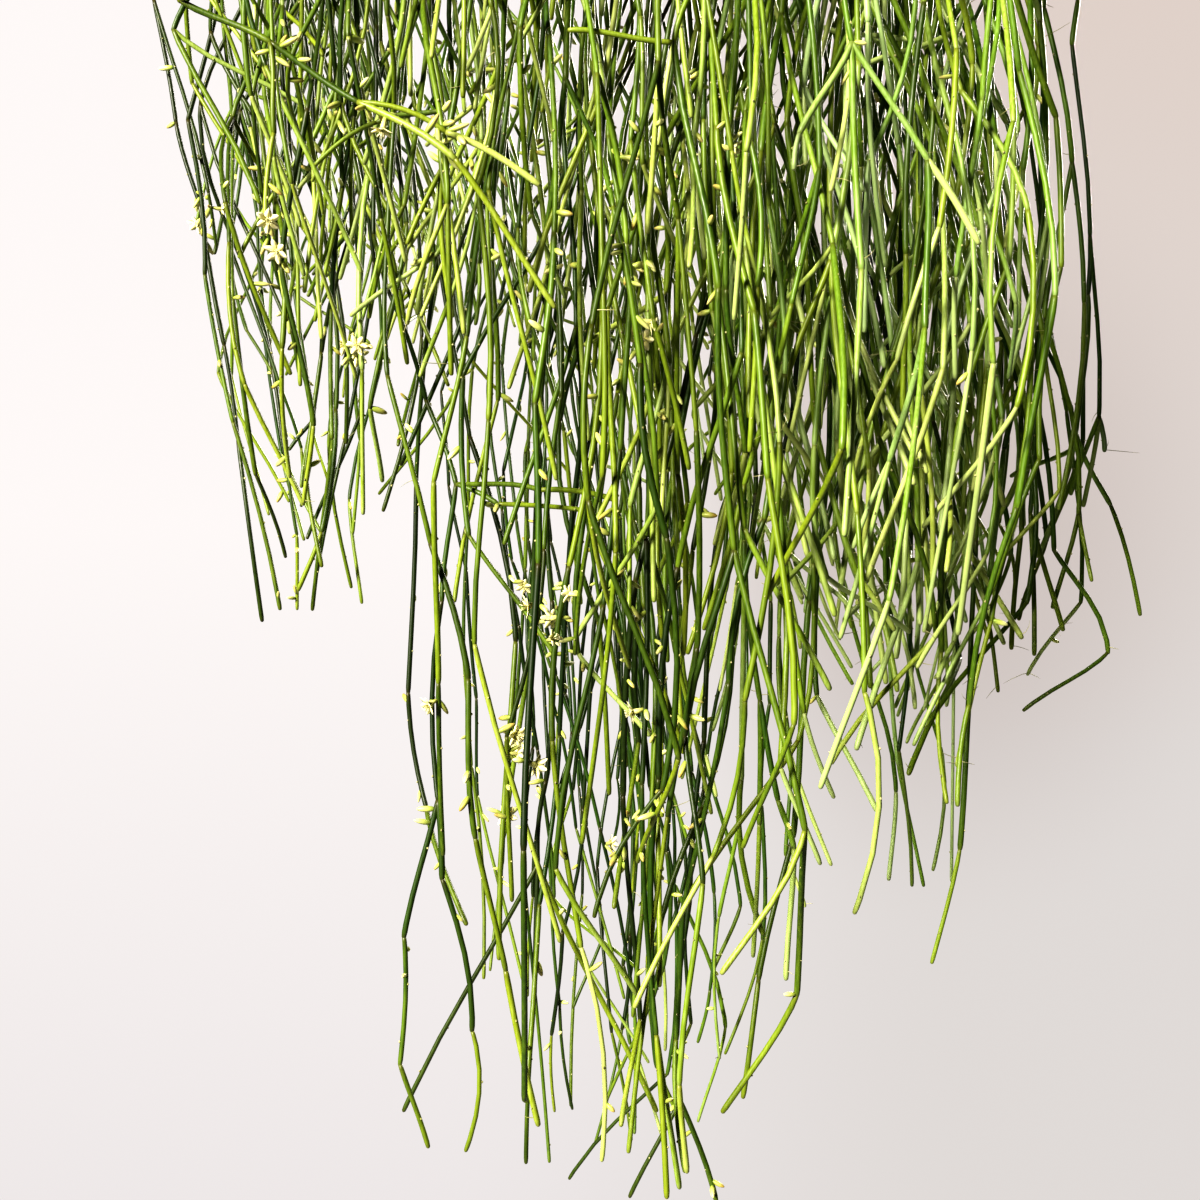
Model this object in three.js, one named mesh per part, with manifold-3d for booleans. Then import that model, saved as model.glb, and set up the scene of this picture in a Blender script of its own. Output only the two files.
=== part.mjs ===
// A mistletoe cactus in a hanging pot. Millimetres, +Z up, the front towards -Y.
// The origin is the inside of the hook's bow, where the whole thing hangs.
//
// Every plant stem rises from its own hole in the soil, arches over the rim and falls, dividing at its
// joints. The falling stems follow a few simple rules with seeded draws, and no two of them touch.
import * as THREE from "three";
import { mergeVertices } from "three/addons/utils/BufferGeometryUtils.js";
import Module from "manifold-3d";

const wasm = await Module();
wasm.setup();

// ---- Pot, soil and hanger ----

const RIM_Z = -400;
const RIM_RADIUS = 125;
const POT_HEIGHT = 145;
const BASE_RADIUS = 86;
const WALL = 3;
const BAND_HEIGHT = 16;
const BAND_STEP = 4;
const POT_SIDES = 28;
const BASE_Z = RIM_Z - POT_HEIGHT;
const BAND_Z = RIM_Z - BAND_HEIGHT;

const DRAIN_COUNT = 5;
const DRAIN_RADIUS = 6;
const DRAIN_RING = 46;
const DRAIN_SIDES = 6;

const GAP = 0.3;
const SOIL_BELOW_RIM = 18;
const SOIL_Z = RIM_Z - SOIL_BELOW_RIM;
const ROOT_DEPTH = 16;

const WIRE_COUNT = 3;
const WIRE_RADIUS = 1.1;
const WIRE_SIDES = 8;
const FERRULE_SIDES = 12;
const FIRST_WIRE_DEGREES = 30;
const EAR_WIDTH = 12;
const EAR_HEIGHT = 15;
const EAR_THICKNESS = 3;
const EAR_INSET = 0.5;
const EAR_RADIUS = RIM_RADIUS - EAR_THICKNESS / 2 - EAR_INSET;
const EAR_SUNK = 4;
const EYELET_BELOW_TOP = 5;
const EYELET_Z = RIM_Z + EAR_HEIGHT - EYELET_BELOW_TOP;

// The bent lower end of a wire, as how far each joint lies outside the ear's middle and above its hole.
const WIRE_END = [[-9, 9], [-5, 0], [4, 0], [6, 5]];

const HOOK_RADIUS = 1.9;
const BOW_INNER_RADIUS = 12;
const BOW_FROM_DEGREES = 205;
const BOW_TO_DEGREES = -45;
const BOW_STEP_DEGREES = 25;
const SHANK_BEND = [3, -4];
const SHANK_START = -11;
const FERRULE_TOP = -60;
const FERRULE_HEIGHT = 16;
const FERRULE_RADIUS = 8;
const WIRE_TOP_RING = 4.6;
const WIRE_SUNK = 10;
const WIRE_STRAIGHT = 3;

// ---- How the stems grow ----

const SEED = 1207;
const EYE_DISTANCE = 680;
const EYE_HEIGHT = -890;

const ARCH_RADIUS = 2.2;
const BRANCH_RADIUS = 1.45;
const CORNER_FACTOR = 1.3;
const STEM_SIDES = 3;
const NECK_LENGTH = 11;

const STRETCH = [52, 108];
const LAST_STRETCH = 1.3;
const LEAST_DROP = 12;
const TIP_NUDGE = 1.2;
const GUIDE_NUDGE = 5;
const SWAY = 0.15;
const STEEPEST_LEAN = 0.5;
const KEEP_LEAN = 0.4;
const FORK_CHANCE = 0.62;
const THIRD_CHANCE = 0.3;
const FORK_KICK = 0.26;
const TRIES = 16;
const CLEARANCE = 0.7;
const SIBLING_GAP = 9;
const POT_CLEARANCE = 5;
const POT_CHECK_STEP = 0.125;
const LEVEL_MARGIN = 10;
const SAME_PLACE = 1e-6;

const SHOULDER_Z = [-464, -440];
const SHOULDER_OUTSIDE = 22;
const SIDE_REACH = 228;
const FRONT_REACH = 162;
const FREE_DEPTH = 0.92;
const SIDE_SPREAD = [-0.42, 0.42];
const STEM_DEPTH = [0.85, 1.15];
const TIP_DEPTH = [0.8, 1.1];
const DEPTH_SPREAD = [-15, 15];
const ROOT_RINGS = [98, 72, 98, 46];
const CREST_ABOVE_RIM = [70, 108, 70, 140];
const CREST_SPREAD = [0.8, 1.2];
const ARCH_SLOPE = 0.12;
const ARCH_STOPS = [0.22, 0.42, 0.6, 0.8, 1];
const ARCH_TRIES = 64;
const SPROUT_HEIGHT = 8;

const BUD_RADIUS = 1.5;
const BUD_LENGTH = 8;
const BUD_SUNK = 1.2;
const BUD_RISE = [-0.7, 0.3];
const BUD_PARTING = 4;
const BUD_SEED = 3 * SEED;

const STEM_FINISH = { color: 0x5f8a2c, roughness: 0.5 };
const POT_FINISH = { color: 0x8c5136, roughness: 0.5 };
const SOIL_FINISH = { color: 0x3a2a1c, roughness: 0.95 };
const STEEL_FINISH = { color: 0x8a8d8f, roughness: 0.35, metalness: 1 };

// The tufts that the falling stems make, from the left to the right as seen from the front: where their
// tips end across the plane of the pot's axis, between which heights the short and the deep tips end,
// what share is deep, how far the stems start to the side of where they end, how many stems hang in
// front, at the side and behind, and how many tips and buds each stem has.
const TUFTS = [
  {
    x: [-208, -188], short: [-690, -790], deep: [-790, -830], share: 0.2, shift: -8,
    hang: [0, 0, 0], tips: 2, buds: 2,
  },
  {
    x: [-166, -138], short: [-650, -790], deep: [-800, -895], share: 0.4, shift: 2,
    hang: [1, 3, 1], tips: 8, buds: 2,
  },
  {
    x: [-150, -108], short: [-650, -790], deep: [-800, -900], share: 0.35, shift: -8,
    hang: [2, 0, 2], tips: 9, buds: 2,
  },
  {
    x: [-107, -72], short: [-640, -780], deep: [-1000, -1150], share: 0.08, shift: 0,
    hang: [1, 0, 2], tips: 8, buds: 2,
  },
  {
    x: [-70, -30], short: [-680, -810], deep: [-1000, -1160], share: 0.34, shift: 0,
    hang: [2, 0, 2], tips: 7, buds: 2,
  },
  {
    x: [-30, 12], short: [-640, -820], deep: [-900, -1185], share: 0.5, shift: 0,
    hang: [1, 0, 2], tips: 8, buds: 1,
  },
  {
    x: [12, 62], short: [-700, -900], deep: [-930, -1190], share: 0.55, shift: 0,
    hang: [1, 0, 3], tips: 9, buds: 1,
  },
  {
    x: [62, 95], short: [-740, -900], deep: [-1000, -1145], share: 0.12, shift: 0,
    hang: [1, 0, 1], tips: 8, buds: 1,
  },
  {
    x: [95, 135], short: [-770, -920], deep: [-940, -1075], share: 0.14, shift: -4,
    hang: [3, 0, 2], tips: 9, buds: 1,
  },
  {
    x: [135, 180], short: [-770, -965], deep: [-960, -1065], share: 0.16, shift: -12,
    hang: [2, 0, 2], tips: 10, buds: 1,
  },
  {
    x: [180, 214], short: [-750, -915], deep: [-925, -960], share: 0.06, shift: -26,
    hang: [1, 3, 1], tips: 8, buds: 1,
  },
  {
    x: [214, 248], short: [-800, -900], deep: [-910, -930], share: 0.3, shift: -10,
    hang: [0, 0, 0], tips: 5, buds: 0,
  },
];

// The hem that nothing hangs below, as [x, z] on the plane of the pot's axis as seen from the front.
const HEM = [
  [-236, -560],
  [-226, -600],
  [-204, -692],
  [-190, -790],
  [-174, -895],
  [-112, -902],
  [-105, -840],
  [-102, -1168],
  [-60, -1172],
  [-30, -1196],
  [62, -1196],
  [76, -1150],
  [94, -1148],
  [99, -1082],
  [120, -1080],
  [150, -1042],
  [180, -1072],
  [186, -962],
  [205, -925],
  [238, -1000],
  [250, -905],
  [272, -900],
  [282, -600],
];

const HEM_SLACK = 2;

// Stems that give the curtain its outline and its front, joint by joint as [x, z] on the same plane, each
// at its own depth, with the limbs that leave their joints.
const GUIDES = [
  {
    depth: -10,
    joints: [[-223, -590], [-212, -651], [-200, -692], [-188, -762], [-181, -810], [-169, -900]],
    limbs: [],
  },
  {
    depth: -228,
    joints: [[-210, -590], [-165, -611], [-121, -641], [-77, -656], [-31, -682]],
    limbs: [
      { at: 1, joints: [[-163, -656], [-167, -705]] },
      { at: 2, joints: [[-73, -669], [-23, -743]] },
    ],
  },
  {
    depth: -200,
    joints: [[-88, -590], [-79, -645], [-76, -692], [-68, -756]],
    limbs: [{ at: 1, joints: [[-111, -651], [-142, -672]] }],
  },
  {
    depth: -120,
    joints: [
      [-100, -740], [-87, -790], [-72, -832], [-79, -890],
      [-81, -990], [-79, -1029], [-64, -1105], [-67, -1165],
    ],
    limbs: [
      { at: 2, joints: [[-30, -835], [8, -840]] },
      { at: 2, joints: [[-51, -842], [10, -849]] },
      { at: 4, joints: [[-98, -1058], [-100, -1122], [-86, -1163]] },
    ],
  },
  {
    depth: -90,
    joints: [[-20, -800], [-24, -890], [-27, -980], [-31, -1022], [-33, -1092], [-37, -1171]],
    limbs: [
      { at: 3, joints: [[-98, -1145]] },
      { at: 3, joints: [[28, -1145]] },
    ],
  },
  {
    depth: -176,
    joints: [[52, -575], [37, -611], [29, -662], [26, -760]],
    limbs: [{ at: 1, joints: [[-15, -605], [-70, -600]] }],
  },
  {
    depth: -150,
    joints: [[20, -590], [24, -690], [25, -790], [27, -890]],
    limbs: [],
  },
  {
    depth: -60,
    joints: [[60, -850], [52, -960], [45, -1040], [40, -1140], [58, -1190]],
    limbs: [{ at: 3, joints: [[15, -1188]] }],
  },
  {
    depth: -110,
    joints: [[72, -860], [80, -940], [89, -990], [97, -1014], [93, -1079]],
    limbs: [],
  },
  {
    depth: -190,
    joints: [[120, -570], [126, -611], [164, -670], [189, -711]],
    limbs: [{ at: 1, joints: [[100, -656], [97, -674]] }],
  },
  {
    depth: -70,
    joints: [[178, -780], [188, -860], [185, -930], [180, -1014], [166, -1071]],
    limbs: [],
  },
  {
    depth: -40,
    joints: [[222, -594], [236, -671], [222, -749], [218, -790], [227, -865], [254, -916], [212, -945]],
    limbs: [],
  },
  {
    depth: 5,
    joints: [[239, -590], [236, -612], [245, -708], [244, -737], [238, -806], [255, -842], [270, -897]],
    limbs: [{ at: 4, joints: [[220, -866], [211, -925], [236, -998]] }],
  },
];

// ---- Seeded draws ----

// Numbers from 0 to 1 in a fixed order, from a 32-bit seed.
function drawer(seed) {
  let state = seed >>> 0;
  return () => {
    state = (state + 0x6d2b79f5) >>> 0;
    let word = state;
    word = Math.imul(word ^ (word >>> 15), word | 1);
    word ^= word + Math.imul(word ^ (word >>> 7), word | 61);
    return ((word ^ (word >>> 14)) >>> 0) / 4294967296;
  };
}

const within = (range, share) => range[0] + (range[1] - range[0]) * share;

// ---- Solids ----

// A closed geometry as a solid that can be joined and cut.
function solidOf(geometry) {
  geometry.deleteAttribute("normal");
  geometry.deleteAttribute("uv");
  const merged = mergeVertices(geometry);
  return new wasm.Manifold(
    new wasm.Mesh({
      numProp: 3,
      vertProperties: merged.attributes.position.array,
      triVerts: new Uint32Array(merged.index.array),
    }),
  );
}

// A solid as a named mesh with its own material.
function meshOf(name, solid, finish) {
  const made = solid.getMesh();
  const geometry = new THREE.BufferGeometry();
  geometry.setAttribute("position", new THREE.BufferAttribute(made.vertProperties, 3));
  geometry.setIndex(new THREE.BufferAttribute(made.triVerts, 1));
  geometry.computeVertexNormals();
  const mesh = new THREE.Mesh(geometry, new THREE.MeshStandardMaterial(finish));
  mesh.name = name;
  return mesh;
}

// A path of straight stretches from joint to joint. At a joint it heads midway between the stretches
// that meet there.
class JointedPath extends THREE.Curve {
  constructor(joints) {
    super();
    this.joints = joints;
  }

  getPoint(t) {
    const place = t * (this.joints.length - 1);
    const index = Math.min(Math.floor(place), this.joints.length - 2);
    return this.joints[index].clone().lerp(this.joints[index + 1], place - index);
  }

  getPointAt(u) {
    return this.getPoint(u);
  }

  getTangentAt(u) {
    const index = Math.round(u * (this.joints.length - 1));
    const here = this.joints[index];
    const heading = new THREE.Vector3();
    if (index > 0) {
      heading.add(here.clone().sub(this.joints[index - 1]).normalize());
    }
    if (index < this.joints.length - 1) {
      heading.add(this.joints[index + 1].clone().sub(here).normalize());
    }
    return heading.normalize();
  }
}

// A closed tube with a ring of corners at each joint, as wide as that joint's radius. A joint of no
// radius is a point, for a root that is sunk into another tube.
function tube(joints, radii, sides) {
  const path = new JointedPath(joints);
  const frames = path.computeFrenetFrames(joints.length - 1, false);
  const corners = [];
  const rings = joints.map((joint, i) => {
    const first = corners.length / 3;
    const count = radii[i] > 0 ? sides : 1;
    for (let k = 0; k < count; k += 1) {
      const angle = (2 * Math.PI * k) / sides;
      const corner = joint.clone()
        .addScaledVector(frames.normals[i], radii[i] * Math.cos(angle))
        .addScaledVector(frames.binormals[i], radii[i] * Math.sin(angle));
      corners.push(corner.x, corner.y, corner.z);
    }
    return Array.from({ length: sides }, (_, k) => first + (k % count));
  });
  const faces = [];
  for (let i = 1; i < rings.length; i += 1) {
    for (let k = 0; k < sides; k += 1) {
      const next = (k + 1) % sides;
      faces.push([rings[i - 1][k], rings[i - 1][next], rings[i][next]]);
      faces.push([rings[i - 1][k], rings[i][next], rings[i][k]]);
    }
  }
  const last = rings[rings.length - 1];
  for (let k = 1; k < sides - 1; k += 1) {
    faces.push([rings[0][0], rings[0][k + 1], rings[0][k]]);
    faces.push([last[0], last[k], last[k + 1]]);
  }
  const flat = faces.filter(([a, b, c]) => a !== b && b !== c && c !== a).flat();
  const geometry = new THREE.BufferGeometry();
  geometry.setAttribute("position", new THREE.Float32BufferAttribute(corners, 3));
  geometry.setIndex(flat);
  return solidOf(geometry);
}

const evenTube = (joints, radius, sides) => tube(joints, joints.map(() => radius), sides);

// A solid of revolution about the vertical axis, from [radius, height] points on the axis at both ends
// or closed on themselves.
function turned(profile, sides) {
  const points = profile.map(([radius, height]) => new THREE.Vector2(radius, height));
  return solidOf(new THREE.LatheGeometry(points, sides).rotateX(Math.PI / 2));
}

// ---- The pot ----

// The pot's outer radius at a height on its sloping side.
function potRadius(z) {
  const share = (z - BASE_Z) / (BAND_Z - BASE_Z);
  return BASE_RADIUS + (RIM_RADIUS - BAND_STEP - BASE_RADIUS) * Math.min(Math.max(share, 0), 1);
}

const wireAzimuths = Array.from(
  { length: WIRE_COUNT },
  (_, i) => THREE.MathUtils.degToRad(FIRST_WIRE_DEGREES + (360 / WIRE_COUNT) * i),
);

// A point given by its distance from the axis, its azimuth and its height.
function polar(radius, azimuth, z) {
  return new THREE.Vector3(radius * Math.cos(azimuth), radius * Math.sin(azimuth), z);
}

function ear(azimuth) {
  const height = EAR_HEIGHT + EAR_SUNK;
  const plate = new THREE.BoxGeometry(EAR_THICKNESS, EAR_WIDTH, height);
  plate.translate(EAR_RADIUS, 0, RIM_Z + EAR_HEIGHT - height / 2);
  return solidOf(plate.rotateZ(azimuth));
}

// The hole in an ear that the wire passes through.
function eyelet(azimuth) {
  const side = 2 * (WIRE_RADIUS + GAP);
  const hole = new THREE.BoxGeometry(EAR_THICKNESS * 3, side, side);
  hole.translate(EAR_RADIUS, 0, EYELET_Z);
  return solidOf(hole.rotateZ(azimuth));
}

function drain(index) {
  const azimuth = (2 * Math.PI * index) / DRAIN_COUNT;
  const centre = polar(DRAIN_RING, azimuth, BASE_Z);
  const up = new THREE.Vector3(0, 0, 3 * WALL);
  return evenTube([centre.clone().sub(up), centre.clone().add(up)], DRAIN_RADIUS, DRAIN_SIDES);
}

function potSolid() {
  let pot = turned(
    [
      [0, BASE_Z],
      [BASE_RADIUS, BASE_Z],
      [RIM_RADIUS - BAND_STEP, BAND_Z],
      [RIM_RADIUS, BAND_Z],
      [RIM_RADIUS, RIM_Z],
      [RIM_RADIUS - BAND_STEP - WALL, RIM_Z],
      [RIM_RADIUS - BAND_STEP - WALL, BAND_Z],
      [BASE_RADIUS - WALL, BASE_Z + WALL],
      [0, BASE_Z + WALL],
    ],
    POT_SIDES,
  );
  for (const azimuth of wireAzimuths) {
    pot = pot.add(ear(azimuth)).subtract(eyelet(azimuth));
  }
  for (let i = 0; i < DRAIN_COUNT; i += 1) {
    pot = pot.subtract(drain(i));
  }
  return pot;
}

// ---- The soil ----

// The pot's inner radius at a height on its sloping side.
function innerRadius(z) {
  const share = (z - BASE_Z - WALL) / (BAND_Z - BASE_Z - WALL);
  return BASE_RADIUS - WALL + (RIM_RADIUS - BAND_STEP - BASE_RADIUS) * share;
}

// The soil, which fills the pot, with a plain hole for each root.
function soilSolid(roots) {
  const floor = BASE_Z + WALL + GAP;
  const soil = turned(
    [
      [0, floor],
      [innerRadius(floor) - GAP, floor],
      [innerRadius(SOIL_Z) - GAP, SOIL_Z],
      [0, SOIL_Z],
    ],
    POT_SIDES,
  );
  const holes = roots.map((root) => {
    const bottom = new THREE.Vector3(root.x, root.y, SOIL_Z - ROOT_DEPTH);
    const top = new THREE.Vector3(root.x, root.y, SOIL_Z + ROOT_DEPTH);
    return evenTube([bottom, top], ARCH_RADIUS * CORNER_FACTOR + 2 * GAP, STEM_SIDES);
  });
  return soil.subtract(wasm.Manifold.union(holes));
}

// ---- The hanger ----

function wireJoints(azimuth) {
  return [
    polar(WIRE_TOP_RING, azimuth, FERRULE_TOP - FERRULE_HEIGHT + WIRE_SUNK),
    polar(WIRE_TOP_RING, azimuth, FERRULE_TOP - FERRULE_HEIGHT - WIRE_STRAIGHT),
    ...WIRE_END.map(([out, up]) => polar(EAR_RADIUS + out, azimuth, EYELET_Z + up)),
  ];
}

function hookSolid() {
  const bow = BOW_INNER_RADIUS + HOOK_RADIUS;
  const centre = new THREE.Vector3(0, 0, -BOW_INNER_RADIUS);
  const joints = [];
  for (let degrees = BOW_FROM_DEGREES; degrees >= BOW_TO_DEGREES; degrees -= BOW_STEP_DEGREES) {
    const angle = THREE.MathUtils.degToRad(degrees);
    joints.push(new THREE.Vector3(bow * Math.cos(angle), 0, bow * Math.sin(angle)).add(centre));
  }
  joints.push(new THREE.Vector3(SHANK_BEND[0], 0, centre.z - bow + SHANK_BEND[1]));
  joints.push(new THREE.Vector3(0, 0, centre.z - bow + SHANK_START));
  joints.push(new THREE.Vector3(0, 0, FERRULE_TOP - FERRULE_HEIGHT / 2));
  const ferruleTop = new THREE.Vector3(0, 0, FERRULE_TOP);
  const ferruleBottom = new THREE.Vector3(0, 0, FERRULE_TOP - FERRULE_HEIGHT);
  const ferrule = evenTube([ferruleTop, ferruleBottom], FERRULE_RADIUS, FERRULE_SIDES);
  let hook = evenTube(joints, HOOK_RADIUS, WIRE_SIDES).add(ferrule);
  for (const azimuth of wireAzimuths) {
    const socket = wireJoints(azimuth).slice(0, 2);
    socket[0].z += GAP;
    hook = hook.subtract(evenTube(socket, WIRE_RADIUS + 2 * GAP, WIRE_SIDES));
  }
  return hook;
}

// ---- Room between the stems ----

// Every stretch that stands in the way of the ones grown after it.
const stretches = [];

function block(from, to, radius) {
  stretches.push({ from: from.clone(), to: to.clone(), radius });
}

const clamp01 = (value) => Math.min(Math.max(value, 0), 1);

// The shortest distance between the middle lines of two stretches: the nearest place on the endless line
// of the first, held to its length, then the nearest to it on the second, then back on the first.
function apart(from, to, otherFrom, otherTo) {
  const along = to.clone().sub(from);
  const otherAlong = otherTo.clone().sub(otherFrom);
  const between = from.clone().sub(otherFrom);
  const square = along.dot(along);
  const otherSquare = otherAlong.dot(otherAlong);
  const shared = along.dot(otherAlong);
  const slant = square * otherSquare - shared * shared;
  const start = along.dot(between);
  const otherStart = otherAlong.dot(between);
  const first = slant > 1e-9 ? clamp01((shared * otherStart - start * otherSquare) / slant) : 0;
  const second = clamp01((shared * first + otherStart) / otherSquare);
  const last = clamp01((shared * second - start) / square);
  const place = from.clone().addScaledVector(along, last);
  return place.distanceTo(otherFrom.clone().addScaledVector(otherAlong, second));
}

// The distance from a point to the middle line of a stretch.
function pointApart(point, from, to) {
  const along = to.clone().sub(from);
  const share = clamp01(point.clone().sub(from).dot(along) / along.dot(along));
  return point.distanceTo(from.clone().addScaledVector(along, share));
}

// Whether a new stretch keeps clear of the pot: inside its mouth above the soil, or outside it.
function missesPot(from, to) {
  for (let share = 0; share <= 1; share += POT_CHECK_STEP) {
    const at = from.clone().lerp(to, share);
    const out = Math.hypot(at.x, at.y);
    const inMouth = at.z > SOIL_Z && out < RIM_RADIUS - BAND_STEP - WALL - POT_CLEARANCE;
    const reach = at.z > BAND_Z - POT_CLEARANCE ? RIM_RADIUS : potRadius(at.z);
    const level = at.z < RIM_Z + POT_CLEARANCE && at.z > BASE_Z - POT_CLEARANCE;
    if (level && !inMouth && out < reach + POT_CLEARANCE) {
      return false;
    }
  }
  return true;
}

// Whether a new stretch keeps clear of every other. It may touch the one that it carries on from, and it
// only has to part from one that leaves the same joint.
function clears(from, to, radius, leastParting = SIBLING_GAP) {
  const low = Math.min(from.z, to.z) - LEVEL_MARGIN;
  const high = Math.max(from.z, to.z) + LEVEL_MARGIN;
  return stretches.every((other) => {
    const below = Math.max(other.from.z, other.to.z) < low;
    const above = Math.min(other.from.z, other.to.z) > high;
    if (below || above || other.to.distanceTo(from) < SAME_PLACE) {
      return true;
    }
    if (other.from.distanceTo(from) < SAME_PLACE) {
      const parting = Math.min(pointApart(to, other.from, other.to), pointApart(other.to, from, to));
      return parting > leastParting;
    }
    return apart(from, to, other.from, other.to) > (radius + other.radius) * CORNER_FACTOR + CLEARANCE;
  });
}

// ---- The front eye ----

// The point at depth y that is seen from the front in line with (x, z) on the plane of the pot's axis.
function inLine(x, z, y) {
  const scale = 1 + y / EYE_DISTANCE;
  return new THREE.Vector3(x * scale, y, EYE_HEIGHT + (z - EYE_HEIGHT) * scale);
}

// The height of the hem at x on the plane of the pot's axis.
function hemAt(x) {
  if (x <= HEM[0][0]) {
    return HEM[0][1];
  }
  for (let i = 1; i < HEM.length; i += 1) {
    if (x <= HEM[i][0]) {
      const share = (x - HEM[i - 1][0]) / (HEM[i][0] - HEM[i - 1][0]);
      return HEM[i - 1][1] + (HEM[i][1] - HEM[i - 1][1]) * share;
    }
  }
  return HEM[HEM.length - 1][1];
}

function aboveHem(point) {
  const scale = 1 + point.y / EYE_DISTANCE;
  return EYE_HEIGHT + (point.z - EYE_HEIGHT) / scale > hemAt(point.x / scale) - HEM_SLACK;
}

// ---- Growing ----

function middle(points) {
  const sum = new THREE.Vector3();
  points.forEach((point) => sum.add(point));
  return sum.divideScalar(points.length);
}

// Where the next joint goes: down, leaning partly as before, partly towards the tips that this branch
// still has to reach, and partly at random. The last stretch goes straight to its tip. Each is drawn again
// until it has room.
function nextJoint(here, lean, kick, aim, last, draw) {
  for (let attempt = 0; attempt < TRIES; attempt += 1) {
    const length = within(STRETCH, draw());
    const turn = 2 * Math.PI * draw();
    const sway = SWAY * (1 + attempt / TRIES) * Math.sqrt(draw());
    const drop = here.z - aim.z;
    const aside = new THREE.Vector2(Math.cos(turn), Math.sin(turn));
    if (last && drop < LAST_STRETCH * length) {
      const nudge = attempt * TIP_NUDGE;
      const tip = aim.clone().add(new THREE.Vector3(nudge * aside.x, nudge * aside.y, nudge));
      if (tip.z < here.z - LEAST_DROP && missesPot(here, tip) && clears(here, tip, BRANCH_RADIUS)) {
        return { joint: tip, lean, done: true };
      }
    } else {
      const heading = new THREE.Vector2(aim.x - here.x, aim.y - here.y);
      heading.divideScalar(Math.max(drop, length)).clampLength(0, STEEPEST_LEAN);
      const next = lean.clone().multiplyScalar(KEEP_LEAN).addScaledVector(heading, 1 - KEEP_LEAN);
      next.add(kick).addScaledVector(aside, sway);
      const along = new THREE.Vector3(next.x, next.y, -1).normalize();
      const joint = here.clone().addScaledVector(along, length);
      if (missesPot(here, joint) && aboveHem(joint) && clears(here, joint, BRANCH_RADIUS)) {
        return { joint, lean: next, done: false };
      }
    }
  }
  return null;
}

// The tips that a branch reaches, shared out from left to right between the two or three it divides into.
function shareOut(goals, draw) {
  const parts = goals.length > 2 && draw() < THIRD_CHANCE ? 3 : 2;
  const sorted = [...goals].sort((one, other) => one.x - other.x);
  const groups = [];
  for (let i = 0; i < parts; i += 1) {
    const start = Math.round((sorted.length * i) / parts);
    const end = Math.round((sorted.length * (i + 1)) / parts);
    groups.push(sorted.slice(start, end));
  }
  return groups.filter((group) => group.length > 0);
}

// A branch grown from a joint to all its tips, and the branches that leave it, as lists of joints.
function growBranch(start, lean, goals, draw) {
  const branches = [];
  const waiting = [{ start, lean, kick: new THREE.Vector2(), goals }];
  while (waiting.length > 0) {
    const { start: from, lean: leanAtStart, kick: firstKick, goals: wanted } = waiting.pop();
    const joints = [from];
    let leaning = leanAtStart;
    let kick = firstKick;
    let tips = wanted;
    for (;;) {
      const here = joints[joints.length - 1];
      const grown = nextJoint(here, leaning, kick, middle(tips), tips.length === 1, draw);
      const heir = waiting[waiting.length - 1];
      if (grown === null && heir !== undefined && heir.start === here) {
        waiting.pop();
        ({ lean: leaning, kick, goals: tips } = heir);
        continue;
      }
      if (grown === null) {
        break;
      }
      block(here, grown.joint, BRANCH_RADIUS);
      joints.push(grown.joint);
      leaning = grown.lean;
      kick = new THREE.Vector2();
      if (grown.done) {
        break;
      }
      const nearest = Math.max(...tips.map((tip) => tip.z));
      const mustPart = grown.joint.z - nearest < STRETCH[1];
      if (tips.length > 1 && (mustPart || draw() < FORK_CHANCE)) {
        const groups = shareOut(tips, draw);
        const centre = middle(tips);
        groups.forEach((group, index) => {
          const aside = middle(group).sub(centre);
          const away = new THREE.Vector2(aside.x, aside.y).normalize().multiplyScalar(FORK_KICK);
          if (index === 0) {
            tips = group;
            kick = away;
          } else {
            waiting.push({ start: grown.joint, lean: leaning, kick: away, goals: group });
          }
        });
      }
    }
    if (joints.length > 1) {
      branches.push(joints);
    }
  }
  return branches;
}

// ---- One stem ----

// The tips of one stem of a tuft: each ends at its own height, above the hem, at about the stem's depth.
function tipsOf(tuft, depth, draw) {
  return Array.from({ length: tuft.tips }, () => {
    const x = within(tuft.x, draw());
    const range = draw() < tuft.share ? tuft.deep : tuft.short;
    const z = Math.max(within(range, draw()), hemAt(x));
    return inLine(x, z, depth * within(TIP_DEPTH, draw()) + within(DEPTH_SPREAD, draw()));
  });
}

// The arch from the hole in the soil over the rim to the shoulder where the stem first divides.
function arch(rootAzimuth, ring, shoulder, draw) {
  const root = polar(ROOT_RINGS[ring], rootAzimuth, SOIL_Z - ROOT_DEPTH + GAP);
  const sprout = root.clone().setZ(SOIL_Z + SPROUT_HEIGHT);
  for (let attempt = 0; attempt < ARCH_TRIES; attempt += 1) {
    const crest = RIM_Z + CREST_ABOVE_RIM[ring] * within(CREST_SPREAD, draw());
    const wobble = new THREE.Vector3(draw() - 0.5, draw() - 0.5, 0).multiplyScalar(attempt);
    const end = shoulder.clone().add(wobble);
    const curve = new THREE.CubicBezierCurve3(
      sprout,
      sprout.clone().lerp(end, ARCH_SLOPE).setZ(crest),
      end.clone().lerp(sprout, ARCH_SLOPE).setZ(crest),
      end,
    );
    const joints = [root, sprout, ...ARCH_STOPS.map((stop) => curve.getPoint(stop))];
    const stands = joints.every((joint, i) => {
      const from = joints[i - 1];
      return i < 1 || (clears(from, joint, ARCH_RADIUS) && (i < 2 || missesPot(from, joint)));
    });
    if (stands) {
      joints.slice(1).forEach((joint, i) => block(joints[i], joint, ARCH_RADIUS));
      return joints;
    }
  }
  return null;
}

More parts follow.
